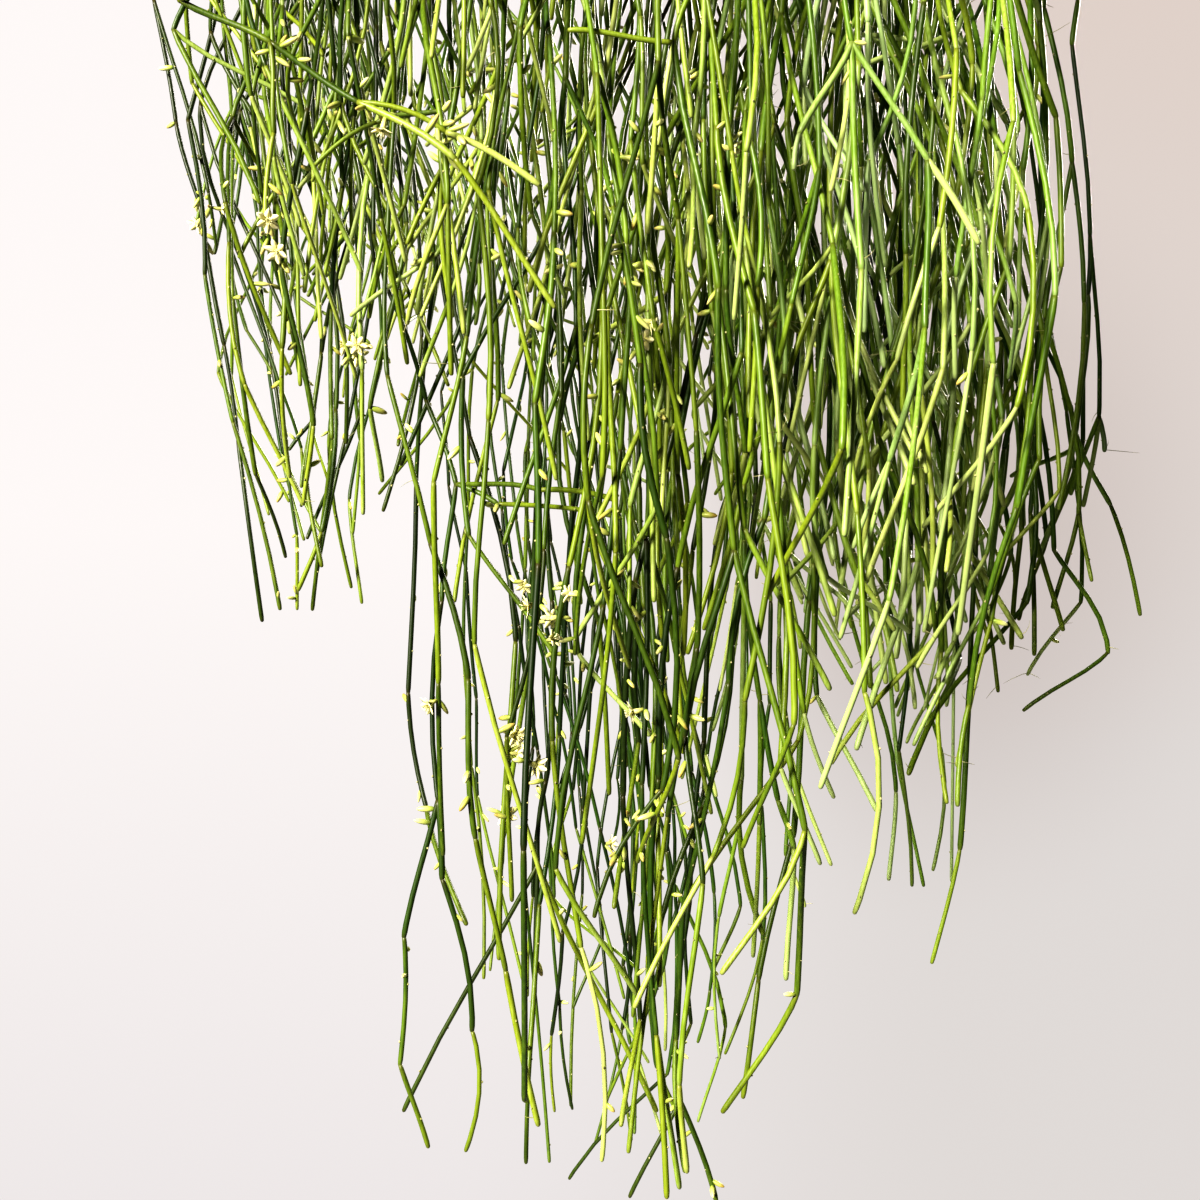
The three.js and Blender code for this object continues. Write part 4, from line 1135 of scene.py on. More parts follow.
def waxy_skin():
    """Living skin under a thin coat of plant wax: the wax gives the soft highlight along each rod. Streaks
    and patches are added to the age, less half their strengths, so they lighten as much as they darken."""
    material = new_material("waxy_stem_skin")
    place = add(material, "TexCoord").outputs["Object"]
    drawn_out = add(material, "Mapping", {"Vector": place, "Scale": (1, 1, STREAK_SQUEEZE)}).outputs["Vector"]
    streaks = add(material, "TexNoise", {"Vector": drawn_out, "Scale": 1 / (STREAK_WIDTH * MM), "Detail": 3})
    patches = add(material, "TexNoise", {"Vector": place, "Scale": 1 / (PATCH_WIDTH * MM), "Detail": 2})
    age = add(material, "Attribute", attribute_name="age").outputs["Fac"]
    yellow = add(material, "Attribute", attribute_name="yellow").outputs["Fac"]
    scar = add(material, "Attribute", attribute_name="scar").outputs["Fac"]
    patchy = add(material, "Math", {0: patches.outputs["Fac"], 1: PATCHES, 2: age}, operation="MULTIPLY_ADD")
    streaky = add(
        material,
        "Math",
        {0: streaks.outputs["Fac"], 1: STREAKS, 2: patchy.outputs[0]},
        operation="MULTIPLY_ADD",
    )
    even = add(material, "Math", {0: streaky.outputs[0], 1: (STREAKS + PATCHES) / 2}, operation="SUBTRACT")
    cool = add(material, "ValToRGB", {"Fac": even.outputs[0]}, stops=COOL_GREENS)
    warm = add(material, "ValToRGB", {"Fac": even.outputs[0]}, stops=WARM_GREENS)
    green = add(
        material,
        "MixRGB",
        {"Fac": yellow, "Color1": cool.outputs["Color"], "Color2": warm.outputs["Color"]},
        use_clamp=True,
    )
    scarred = add(material, "Math", {0: scar, 1: SCAR_STRENGTH}, operation="MULTIPLY").outputs[0]
    colour = add(
        material, "MixRGB", {"Fac": scarred, "Color1": green.outputs["Color"], "Color2": linear(SCAR_BROWN)}
    )
    roughness = add(
        material,
        "MapRange",
        {"Value": streaks.outputs["Fac"], "From Min": 0.3, "From Max": 0.7, "To Min": 0.36, "To Max": 0.52},
    )
    relief = add(
        material, "Bump", {"Height": streaks.outputs["Fac"], "Strength": 0.6, "Distance": 0.12 * MM}
    )
    skin = add(
        material,
        "BsdfPrincipled",
        {
            "Base Color": colour.outputs["Color"],
            "Roughness": roughness.outputs["Result"],
            "Normal": relief.outputs["Normal"],
            "IOR": 1.45,
            "Specular IOR Level": 0.3,
            "Coat Weight": 0.15,
            "Coat Roughness": 0.48,
            "Coat IOR": 1.45,
        },
    )
    add(material, "OutputMaterial", {"Surface": skin.outputs["BSDF"]})
    return material


skin = waxy_skin()
print(skin.name, "has", len(skin.node_tree.nodes), "nodes")

# %% Every stem of the CAD model, finely
all_rods = []


def fine_stem(grown, seed, arch_radius):
    """A stem's whole shape, drawn with a seed of its own. Its rods are kept, for what grows on them later."""
    draws = np.random.default_rng(seed + grown["stem"]["index"])
    rods = rods_of(grown, draws)
    all_rods.append(rods)
    return stem_shape(grown, rods, draws, arch_radius)


def grown_piece(name, shape, finish):
    """Something that grew as a part of the plant, as a piece with its finish that moves with the plant."""
    piece = new_piece(name, **shape)
    piece.data.materials.append(finish)
    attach(piece, "root")
    return piece


triangles = 0
for grown in main_stems:
    node = f"stem_{grown['stem']['index'] + 1:02d}"
    shape = fine_stem(grown, SEED, ARCH_RADIUS)
    triangles += triangle_count(shape)
    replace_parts(grown_piece("fine_" + node, shape, skin), node)
print(len(main_stems), "stems,", triangles, "triangles")

# %% The stems between, one piece for each tuft
by_tuft = {}
for grown in stems_between:
    shape = fine_stem(grown, 2 * SEED, STEMS_BETWEEN["arch_radius"])
    by_tuft.setdefault(BETWEEN_TUFTS.index(grown["stem"]["tuft"]), []).append(shape)
for index, shapes in sorted(by_tuft.items()):
    shape = joined(shapes)
    grown_piece(f"stems_between_{index + 1:02d}", shape, skin)
    print("tuft", index + 1, "has", len(shapes), "stems between,", triangle_count(shape), "triangles")

# %% [markdown]
# ## Where something grows on the skin
# Buds, flowers, felt dots and air roots all grow from places on the rods. One function gives such places:
# a point on a rod's middle line, the direction out of the skin there, and how far out the skin lies.

# %% Places on the rods
rods = {key: np.concatenate([part[key] for part in all_rods]) for key in all_rods[0]}
grow_draws = np.random.default_rng(7 * SEED)


def skin_places(index, share, draws):
    """The places at the given shares of the given rods: points, directions along and out of the skin with a
    random turn about the rod, and the rod's radius there."""
    chosen = {key: numbers[index] for key, numbers in rods.items()}
    point, heading = rod_line(chosen, np.asarray(share)[:, None, None])
    point, heading = point[:, 0], heading[:, 0]
    side, other = across(heading)
    turn = draws.uniform(0, 2 * np.pi, len(index))[:, None]
    out = side * np.cos(turn) + other * np.sin(turn)
    return dict(point=point, along=heading, out=out, radius=chosen["radius"])


def seen_from_front(points):
    """Where points are seen from the front, as x and z on the plane of the pot's axis: both distances from
    the eye's level line shrink by 1 + y / (the eye's distance)."""
    scale = 1 + points[:, 1] / EYE_DISTANCE
    return np.stack([points[:, 0] / scale, EYE_HEIGHT + (points[:, 2] - EYE_HEIGHT) / scale], -1)


print(len(rods["radius"]), "rods in all")

# %% [markdown]
# ## Buds
# The flower buds are pale yellow-green and oblong, 4 to 8 mm long. They sit on the side of a rod, singly or a
# few together, mostly on the left and in the long middle tail. The right side has hardly any. A bud, a petal,
# a stamen and an air root are all the same shape to a maker: a small tube with an oval section that widens
# and narrows along its length, so one function makes them all.

# %% Flattened tubes for buds, petals and threads


def small_tubes(base, along, flat, length, width, thickness, at, outline, sides, curl=None):
    """Small closed tubes with an oval section: at each share of the length, the middle point moves along,
    and by curl times the share squared, and the ring is outline times the width across and the thickness
    at right angles to it. Flat is the direction of the thickness."""
    at, outline = np.asarray(at), np.asarray(outline)
    across_flat = np.cross(along, flat)
    line = base[:, None] + along[:, None] * (at * length[:, None])[..., None]
    if curl is not None:
        line = line + curl[:, None] * (at**2 * length[:, None])[..., None]
    angle = even_turns(sides)
    wide = across_flat[:, None, None] * (np.cos(angle)[:, None] * width[:, None, None, None] / 2)
    thick = flat[:, None, None] * (np.sin(angle)[:, None] * thickness[:, None, None, None] / 2)
    points = line[:, :, None] + (wide + thick) * outline[:, None, None]
    share = np.broadcast_to(at[None, :, None], points.shape[:3])
    return closed_tubes(points, dict(along=share))


one = np.array([1.0])
sample = small_tubes(*np.eye(3)[:, None], one, one, one, [0, 1], [1, 1], 4)
print("a tube of 2 rings and 4 sides has", triangle_count(sample), "triangles")

# %% The buds that the CAD model carries
BUD_SEED = 3 * SEED
BUD_RADIUS = 1.5
BUD_LENGTH = 8
BUD_SUNK = 1.2
BUD_RISE = [-0.7, 0.3]
BUD_PARTING = 4


def main_buds(grown):
    """The buds that the CAD model's stem carries: its joints, and the directions they point in, drawn again
    until each has room beside its neighbours."""
    draw = drawer(BUD_SEED + grown["stem"]["index"])
    joints = [joint for branch in grown["branches"] for joint in branch[1:-1]]
    buds = []
    for _ in range(grown["stem"]["tuft"]["buds"] if joints else 0):
        joint = joints[math.floor(len(joints) * draw())]
        for _ in range(TRIES):
            turn = 2 * math.pi * draw()
            along = unit(np.array([math.cos(turn), math.sin(turn), within(BUD_RISE, draw())]))
            end = joint + along * (BUD_LENGTH - BUD_SUNK)
            taken = any(other is joint for other, _ in buds)
            if not taken and main_room.clears(joint, end, BUD_RADIUS, MAIN_STEMS, BUD_PARTING):
                main_room.block(joint, end, BUD_RADIUS)
                buds.append((joint, along))
                break
    return buds


carried = [bud for grown in main_stems for bud in main_buds(grown)]
carried_places = dict(
    point=np.array([joint for joint, _ in carried]),
    out=np.array([along for _, along in carried]),
    along=np.zeros((len(carried), 3)),
    radius=np.full(len(carried), ROD_RADIUS),
)
print(len(carried), "buds in the CAD model")

# %% The places of the other buds
SCATTERED_BUDS = 520
PLACES_TRIED = 6
LEFT_SIDE = -100
RIGHT_SIDE = 60
HIGH_UP = -600
CHANCE_LEFT = 0.9
CHANCE_RIGHT = 0.12
CHANCE_HIGH_UP = 0.5
BUD_CLUSTERS = [
    [-156, -610], [-168, -705], [-112, -640], [-81, -658], [-202, -694], [16, -669], [60, -654], [-14, -720],
    [18, -721], [20, -752], [-105, -1071], [-20, -892], [15, -888], [20, -988], [-52, -973], [-85, -943],
    [-50, -885], [35, -940], [-20, -917], [-122, -765], [-50, -1000], [-40, -960], [10, -1010],
]
CLUSTER_REACH = 13
CLUSTER_BUDS = 7
PLACES_ON_ROD = 5


def scattered_places(count, draws):
    """Random places on the rods, kept by chance: many on the left and in the middle, few on the right, and
    half as many high up as lower down."""
    index = draws.integers(0, len(rods["radius"]), PLACES_TRIED * count)
    places = skin_places(index, draws.uniform(0.02, 0.98, len(index)), draws)
    x, z = seen_from_front(places["point"]).T
    wanted = np.where(x < LEFT_SIDE, CHANCE_LEFT, np.where(x < RIGHT_SIDE, 1, CHANCE_RIGHT))
    wanted = wanted * np.where(z > HIGH_UP, CHANCE_HIGH_UP, 1)
    kept = np.flatnonzero(draws.uniform(0, 1, len(index)) < wanted)[:count]
    return {key: numbers[kept] for key, numbers in places.items()}


def cluster_places(draws):
    """Places near each cluster, on the rods that hang in front there."""
    index = np.repeat(np.arange(len(rods["radius"])), PLACES_ON_ROD)
    share = np.tile(np.linspace(0.1, 0.9, PLACES_ON_ROD), len(rods["radius"]))
    places = skin_places(index, share, draws)
    seen = seen_from_front(places["point"])
    kept = []
    for cluster in BUD_CLUSTERS:
        near = np.flatnonzero(lengths(seen - np.array(cluster, float)) < CLUSTER_REACH)
        kept.append(near[np.argsort(places["point"][near, 1])][:CLUSTER_BUDS])
    kept = np.concatenate(kept)
    return {key: numbers[kept] for key, numbers in places.items()}


bud_places = [carried_places, scattered_places(SCATTERED_BUDS, grow_draws), cluster_places(grow_draws)]
print([len(places["radius"]) for places in bud_places], "buds in the CAD model, scattered and in clusters")

# %% The buds' shapes
BUD_LEAN = [0.4, 0.8]
BUD_LENGTHS = [4.4, 8.0]
BUD_WIDTHS = [2.0, 2.9]
BUD_FOOT = 0.4
BUD_SIDES = 6
BUD_AT = [0, 0.12, 0.4, 0.72, 0.92, 1]
BUD_OUTLINE = [0.45, 0.78, 1, 0.86, 0.5, 0.12]


def bud_shapes(places, draws):
    """A bud at each place, pointing out of the skin and a little along the rod. Short buds are slimmer too,
    by their share of the greatest length to the power of 0.4."""
    count = len(places["radius"])
    along = unit(places["out"] + places["along"] * draws.normal(*BUD_LEAN, count)[:, None])
    flat, _ = across(along)
    length = draws.uniform(*BUD_LENGTHS, count)
    width = draws.uniform(*BUD_WIDTHS, count) * (length / BUD_LENGTHS[1]) ** 0.4
    base = places["point"] + along * (places["radius"] * BUD_FOOT)[:, None]
    shape = small_tubes(base, along, flat, length, width, width, BUD_AT, BUD_OUTLINE, BUD_SIDES)
    shape["values"]["ripe"] = np.repeat(draws.uniform(0, 1, count), len(BUD_AT) * BUD_SIDES)
    return shape


buds = joined([bud_shapes(places, grow_draws) for places in bud_places])
print(len(buds["points"]) // (BUD_SIDES * len(BUD_AT)), "buds,", triangle_count(buds), "triangles")

# %% [markdown]
# ## Open flowers
# An open flower is a small cream star of six narrow petals that bend back, with a tuft of fine stamens. It
# is 8 to 10 mm across and stands on a short green cup.

# %% The flowers
PETALS = 6
PETAL_LENGTH = 4.6
PETAL_WIDTH = 2.7
PETAL_THICKNESS = 0.5
PETAL_FLARE = 1.1
PETAL_OUTWARDS = 0.3
PETAL_BACK = 0.18
PETAL_AT = [0, 0.3, 0.65, 0.9, 1]
PETAL_OUTLINE = [0.4, 0.9, 1, 0.6, 0.15]
STAMENS = 9
STAMEN_LENGTH = 4.2
STAMEN_WIDTH = 0.35
STAMEN_FLARE = 0.35
STAMEN_AT = [0, 0.8, 1]
STAMEN_OUTLINE = [0.7, 0.7, 1.6]
CUP_LENGTH = 4.2
CUP_WIDTH = 2.4
CUP_AT = [0, 0.5, 0.85, 1]
CUP_OUTLINE = [0.5, 0.9, 1, 0.5]
CUP_GREEN = 0.4
FLOWER_HEIGHT = 3.2
FLOWER_LEAN = 0.3
FLOWER_SHARE = 0.15


def flower_shapes(places, draws):
    """Flowers at the given places. Petal k of a flower leaves its middle at an even turn about the flower's
    axis, flared by about as much as it goes along it, and curls outwards and back. The stamens stand in a
    narrow cone, and the cup takes the colour of the petals' green throat."""
    axis = unit(places["out"] + places["along"] * FLOWER_LEAN)
    side, other = across(axis)
    base = places["point"] + axis * (places["radius"] + FLOWER_HEIGHT)[:, None]
    size = draws.uniform(0.8, 1.1, len(base))

    def spread(count, flare):
        """Directions for so many petals or stamens on every flower: along each, outwards from the axis, and
        then their starts and sizes."""
        turn = (np.arange(count) + draws.uniform(0, 1, (len(base), 1))) * 2 * np.pi / count
        radial = side[:, None] * np.cos(turn)[..., None] + other[:, None] * np.sin(turn)[..., None]
        bent = flare * draws.uniform(0.8, 1.2, turn.shape)[..., None]
        along = unit(axis[:, None] + radial * bent).reshape(-1, 3)
        return along, radial.reshape(-1, 3), np.repeat(base, count, 0), np.repeat(size, count)

    along, radial, start, scale = spread(PETALS, PETAL_FLARE)
    flat = unit(np.cross(np.cross(along, radial), along))
    curl = radial * PETAL_OUTWARDS - np.repeat(axis, PETALS, 0) * PETAL_BACK
    length, width, thickness = PETAL_LENGTH * scale, PETAL_WIDTH * scale, PETAL_THICKNESS * scale
    petals = small_tubes(start, along, flat, length, width, thickness, PETAL_AT, PETAL_OUTLINE, 4, curl)
    along, radial, start, scale = spread(STAMENS, STAMEN_FLARE)
    flat, _ = across(along)
    length, width = STAMEN_LENGTH * scale, np.full(len(start), STAMEN_WIDTH)
    stamens = small_tubes(start, along, flat, length, width, width, STAMEN_AT, STAMEN_OUTLINE, 3)
    length, width = places["radius"] + CUP_LENGTH, CUP_WIDTH * size
    cup = small_tubes(places["point"], axis, side, length, width, width, CUP_AT, CUP_OUTLINE, 6)
    cup["values"]["along"] = cup["values"]["along"] * CUP_GREEN
    return joined([petals, stamens, cup])


clusters = cluster_places(grow_draws)
open_ones = np.flatnonzero(grow_draws.uniform(0, 1, len(clusters["radius"])) < FLOWER_SHARE)
flower_places = {key: numbers[open_ones] for key, numbers in clusters.items()}
flowers = flower_shapes(flower_places, grow_draws)
print(len(open_ones), "flowers,", triangle_count(flowers), "triangles")

# %% [markdown]
# ## Felt dots and air roots
# Every rod carries areoles, the tiny felt cushions that mark a cactus. They are pale dots about a millimetre
# across. On the plant they follow a spiral, but here each is turned by chance, which looks the same on rods
# this thin. Some joints, most of them on the right, also carry air roots, dry threads that the plant puts out
# in moist air.

# %% The dots
DOT_SPACING = 26
DOT_HEIGHT = 0.55
DOT_WIDTHS = [0.7, 1.1]
DOT_LENGTHENED = 1.5
DOT_FOOT = 0.86


def dot_shapes(draws):
    """A low four-sided cushion at about even steps along all the rods: step k of n lies at the share
    (k + a little chance) / n."""
    count = np.maximum((rods["length"] / DOT_SPACING).astype(int), 1)
    index = np.repeat(np.arange(len(count)), count)
    step = np.arange(len(index)) - np.repeat(np.cumsum(count) - count, count)
    places = skin_places(index, (step + draws.uniform(0.4, 0.8, len(index))) / np.repeat(count, count), draws)
    out, along = places["out"], places["along"]
    base = places["point"] + out * (places["radius"] * DOT_FOOT)[:, None]
    height = DOT_HEIGHT * draws.uniform(0.7, 1.3, len(index))
    width = draws.uniform(*DOT_WIDTHS, len(index))
    return small_tubes(base, out, along, height, width, width * DOT_LENGTHENED, [0, 1], [1, 0.35], 4)


dots = dot_shapes(grow_draws)
print(triangle_count(dots), "triangles in the dots")

# %% The threads
AIR_ROOTS = 420
ROOTS_TRIED = 5
ROOT_CHANCE_RIGHT = 0.8
ROOT_CHANCE_LEFT = 0.1
ROOT_LENGTHS = [3, 10]
ROOT_WIDTH = 0.42
ROOT_CURL = 0.35
ROOT_AT = [0, 0.35, 0.7, 1]
ROOT_OUTLINE = [1, 0.9, 0.7, 0.3]


def air_root_shapes(draws):
    """Thin curved threads near the rods' ends, kept by chance: most of them on the right."""
    index = draws.integers(0, len(rods["radius"]), ROOTS_TRIED * AIR_ROOTS)
    places = skin_places(index, draws.uniform(0.93, 1, len(index)), draws)
    wanted = np.where(places["point"][:, 0] > RIGHT_SIDE, ROOT_CHANCE_RIGHT, ROOT_CHANCE_LEFT)
    kept = np.flatnonzero(draws.uniform(0, 1, len(index)) < wanted)[:AIR_ROOTS]
    out, point = places["out"][kept], places["point"][kept]
    length = draws.uniform(*ROOT_LENGTHS, len(kept))
    width = np.full(len(kept), ROOT_WIDTH)
    curl = draws.normal(0, ROOT_CURL, (len(kept), 3))
    flat, _ = across(out)
    return small_tubes(point, out, flat, length, width, width, ROOT_AT, ROOT_OUTLINE, 3, curl)


air_roots = air_root_shapes(grow_draws)
print(triangle_count(air_roots), "triangles in the threads")

# %% [markdown]
# Each bud and petal carries its share along the tube as a number, so a ramp can run from its green foot to
# its pale tip. Felt and threads are too small to show more than an uneven straw colour.

# %% Their materials


def bud_skin():
    """Young petals still closed: waxy, green at the foot and pale towards the tip, with a rusty tinge where a
    bud is ripe."""
    material = new_material("waxy_bud_skin")
    share = add(material, "Attribute", attribute_name="along").outputs["Fac"]
    ripe = add(material, "Attribute", attribute_name="ripe").outputs["Fac"]
    place = add(material, "TexCoord").outputs["Object"]
    mottle = add(material, "TexNoise", {"Vector": place, "Scale": 1 / (1.6 * MM), "Detail": 2}).outputs["Fac"]
    uneven = add(material, "Math", {0: mottle, 1: 0.3, 2: share}, operation="MULTIPLY_ADD").outputs[0]
    cream = add(
        material, "ValToRGB", {"Fac": uneven}, stops=[(0.1, "#66802a"), (1, "#d5d898"), (0.5, "#a6b25a")]
    )
    rust = add(
        material, "ValToRGB", {"Fac": uneven}, stops=[(0.1, "#667a2a"), (1, "#94803a"), (0.7, "#a9ab58")]
    )
    colour = add(
        material, "MixRGB", {"Fac": ripe, "Color1": cream.outputs["Color"], "Color2": rust.outputs["Color"]}
    )
    shader = add(
        material, "BsdfPrincipled", {"Base Color": colour.outputs["Color"], "Roughness": 0.45, "IOR": 1.42}
    )
    add(material, "OutputMaterial", {"Surface": shader.outputs["BSDF"]})
    return material


def petal_skin():
    """Thin petals: cream white with a green throat, matt, and lit from within by a little scattering."""
    material = new_material("thin_cream_petal")
    share = add(material, "Attribute", attribute_name="along").outputs["Fac"]
    colour = add(
        material, "ValToRGB", {"Fac": share}, stops=[(0.05, "#9aa048"), (1, "#e2dbac"), (0.35, "#d0cc8c")]
    )
    shader = add(
        material,
        "BsdfPrincipled",
        {
            "Base Color": colour.outputs["Color"],
            "Roughness": 0.55,
            "IOR": 1.4,
            "Subsurface Weight": 0.25,
            "Subsurface Radius": (1, 0.9, 0.5),
            "Subsurface Scale": 1.5 * MM,
        },
    )
    add(material, "OutputMaterial", {"Surface": shader.outputs["BSDF"]})
    return material


def felt():
    """Plant felt and dry threads: matt, straw-coloured and a little uneven."""
    material = new_material("straw_felt")
    place = add(material, "TexCoord").outputs["Object"]
    mottle = add(material, "TexNoise", {"Vector": place, "Scale": 1 / (9 * MM), "Detail": 2}).outputs["Fac"]
    colour = add(material, "ValToRGB", {"Fac": mottle}, stops=[(0.3, "#76763f"), (0.7, "#aeaa80")])
    shader = add(material, "BsdfPrincipled", {"Base Color": colour.outputs["Color"], "Roughness": 0.85})
    add(material, "OutputMaterial", {"Surface": shader.outputs["BSDF"]})
    return material


bud_finish, petal_finish, felt_finish = bud_skin(), petal_skin(), felt()
print(bud_finish.name, petal_finish.name, felt_finish.name)

# %% Buds, flowers, dots and threads as pieces
small_parts = [
    ("flower_buds", buds, bud_finish),
    ("open_flowers", flowers, petal_finish),
    ("areoles", dots, felt_finish),
    ("air_roots", air_roots, felt_finish),
]
for name, shape, finish in small_parts:
    piece = grown_piece(name, shape, finish)
    print(name, len(piece.data.polygons), "faces in", finish.name)

# %% [markdown]
# ## Pot, soil and hanger
# The pot is a plain moulded one of brown plastic, with a thick rim, drain holes and three ears for the wires.
# Its edges are rounded, as a mould leaves them. Everything turned shares one function, which spins a profile
# about the pot's axis, and everything bent from wire shares another. A turned profile starts and ends a
# little outside the axis, where flat discs close it.

# %% Turned and bent shapes
MOST_ROUNDED = 0.42


def rounded(path, reach):
    """A path with its inner corners rounded: each becomes four points on a quadratic Bezier curve that
    starts and ends at most the given reach away from the corner, and before the middle of its sides."""
    path = np.asarray(path, float)
    run = lengths(np.diff(path, axis=0))
    points = [path[:1]]
    t = np.array([0, 1 / 3, 2 / 3, 1])[:, None]
    for i in range(1, len(path) - 1):
        near = min(reach, MOST_ROUNDED * run[i - 1], MOST_ROUNDED * run[i])
        before = path[i] + (path[i - 1] - path[i]) * near / run[i - 1]
        after = path[i] + (path[i + 1] - path[i]) * near / run[i]
        points.append((1 - t) ** 2 * before + 2 * t * (1 - t) * path[i] + t**2 * after)
    return np.vstack(points + [path[-1:]])


def turned(profile, sides):
    """A profile of radii and heights spun about the upright axis: x = r cos a, y = r sin a."""
    angle = even_turns(sides)
    radius, height = np.asarray(profile, float).T[..., None]
    x, y = radius * np.cos(angle), radius * np.sin(angle)
    return closed_tubes(np.stack([x, y, np.broadcast_to(height, x.shape)], -1)[None], {})


def bent_tube(path, normal, radii, sides):
    """A round tube along a flat path, at right angles to the given normal of the path's plane."""
    path = np.asarray(path, float)
    heading = unit(np.gradient(path, axis=0))
    other = np.cross(heading, normal)
    angle = even_turns(sides)
    ring = np.asarray(normal) * np.cos(angle)[:, None] + other[:, None] * np.sin(angle)[:, None]
    radii = np.broadcast_to(radii, len(path))[:, None, None]
    return closed_tubes((path[:, None] + ring * radii)[None], {})


def block_shape(points):
    """A closed ring of corners, given as an array of (ring, corner, xyz) whose rings close on themselves."""
    return dict(points=points.reshape(-1, 3), quads=grid_faces(*points.shape[:2], closed_rows=True))


print("a right angle rounded:", rounded([[0, 0], [10, 0], [10, 10]], 2).round(1).tolist())

# %% The pot
POT_SIDES = 120
POT_DISC = 20
LIP_ROUND = 1.4
HOLE_RADIUS = 6
HOLE_RING = 46
HOLES = 5
HOLE_SIDES = 28
EAR_SUNK = 4
EAR_BEVEL = 0.5
EAR_FACE = 0.93
EYELET_RADIUS = 1.7
EAR_SIDES = 40

pot_profile = rounded(
    [
        [POT_DISC, BASE_Z], [BASE_RADIUS, BASE_Z], [RIM_RADIUS - BAND_STEP, BAND_Z], [RIM_RADIUS, BAND_Z],
        [RIM_RADIUS, RIM_Z], [MOUTH_RADIUS, RIM_Z], [MOUTH_RADIUS, BAND_Z],
        [BASE_RADIUS - WALL, BASE_Z + WALL], [POT_DISC, BASE_Z + WALL],
    ],
    LIP_ROUND,
)


def ear(azimuth):
    """A flat ear: a superellipse |x|^4 + |z|^4 = 1 with a bevelled edge and a round hole for its wire."""
    angle = even_turns(EAR_SIDES)
    x, z = np.cos(angle), np.sin(angle)
    edge = np.stack([x, z], -1) / (x**4 + z**4)[:, None] ** 0.25
    edge = edge * [EAR_WIDTH / 2, (EAR_HEIGHT + EAR_SUNK) / 2]
    middle = np.array([0, RIM_Z + EAR_HEIGHT - (EAR_HEIGHT + EAR_SUNK) / 2 - EYELET_Z])
    hole = np.stack([x, z], -1) * EYELET_RADIUS
    half = EAR_THICKNESS / 2
    rows = [(hole, -half), (edge * EAR_FACE + middle, -half), (edge + middle, -half + EAR_BEVEL)]
    rows += [(edge + middle, half - EAR_BEVEL), (edge * EAR_FACE + middle, half), (hole, half)]
    out = np.array([np.cos(azimuth), np.sin(azimuth), 0])
    sideways = np.array([-np.sin(azimuth), np.cos(azimuth), 0])
    rings = [
        out * (EAR_RADIUS + depth) + flat[:, :1] * sideways + (EYELET_Z + flat[:, 1:]) * np.array([0, 0, 1.0])
        for flat, depth in rows
    ]
    return block_shape(np.array(rings))


def drain_holes():
    """Upright cylinders where the base is pierced."""
    cutters = []
    for i in range(HOLES):
        place = polar(HOLE_RING, 2 * np.pi * i / HOLES, BASE_Z - WALL)
        path = np.array([place, place + [0, 0, 3 * WALL]])
        cutters.append(bent_tube(path, [1.0, 0, 0], HOLE_RADIUS, HOLE_SIDES))
    return joined(cutters)


def cut_away(piece, cutter):
    """The piece without what the cutter covers, with the cutter gone afterwards."""
    knife = new_piece("knife", **cutter)
    cut = piece.modifiers.new("cut", "BOOLEAN")
    cut.object = knife
    graph = bpy.context.evaluated_depsgraph_get()
    whole = piece.data
    piece.data = bpy.data.meshes.new_from_object(piece.evaluated_get(graph))
    piece.modifiers.clear()
    bpy.data.meshes.remove(whole)
    bpy.data.meshes.remove(knife.data)


pot_shape = joined([turned(pot_profile, POT_SIDES), *(ear(azimuth) for azimuth in wire_azimuths)])
pot = new_piece("fine_pot", **pot_shape)
cut_away(pot, drain_holes())
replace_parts(pot, "pot")
print("pot", len(pot.data.polygons), "faces")

# %% [markdown]
# ## Soil
# The mix is peat with bark chips and a little white perlite, for quick drainage. It lies a little uneven, and
# the chips sit half in it.

# %% The soil
SOIL_SIDES = 144
SOIL_RINGS = 60
SOIL_RELIEF = 1.1
SOIL_DISC = 10
SOIL_MIDDLE = 0.02


def inner_radius(z):
    """The inner radius of the pot's cone at a height."""
    share = (z - BASE_Z - WALL) / (BAND_Z - BASE_Z - WALL)
    return BASE_RADIUS - WALL + (MOUTH_RADIUS - (BASE_RADIUS - WALL)) * share


def relief(x, y):
    """The soil's small hills: four crossing waves of 4 to 37 mm, added up and divided by the most that they
    can come to together, so that they stay between -1 and 1."""
    waves = np.sin(x / 5.9 + 1) * np.sin(y / 5.1) + np.sin((x + y) / 3.3) * np.sin((x - y) / 2.7)
    waves = waves + 0.7 * np.sin(x / 1.9) * np.sin(y / 1.6 + 2) + 0.5 * np.sin((x - 2 * y) / 1.45)
    return waves / 3.2


def soil_shape():
    """The soil as a turned body whose top rows carry the hills, lowest where the top meets the wall."""
    rim = inner_radius(SOIL_Z) - 2 * GAP
    foot = BASE_RADIUS - WALL - 2 * GAP
    bottom = BASE_Z + WALL + GAP
    flat = np.linspace(1, SOIL_MIDDLE, SOIL_RINGS)[:, None] * rim
    profile = np.vstack([
        [SOIL_DISC, bottom], [foot, bottom], [rim, SOIL_Z - SOIL_RELIEF * 2],
        np.column_stack([flat, np.full(SOIL_RINGS, SOIL_Z - SOIL_RELIEF)]),
    ])
    shape = turned(profile, SOIL_SIDES)
    points = shape["points"]
    top = slice(3 * SOIL_SIDES, None)
    points[top, 2] += SOIL_RELIEF * relief(points[top, 0], points[top, 1])
    return shape


soil = new_piece("fine_soil", **soil_shape())
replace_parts(soil, "soil")
print("soil", len(soil.data.polygons), "faces")

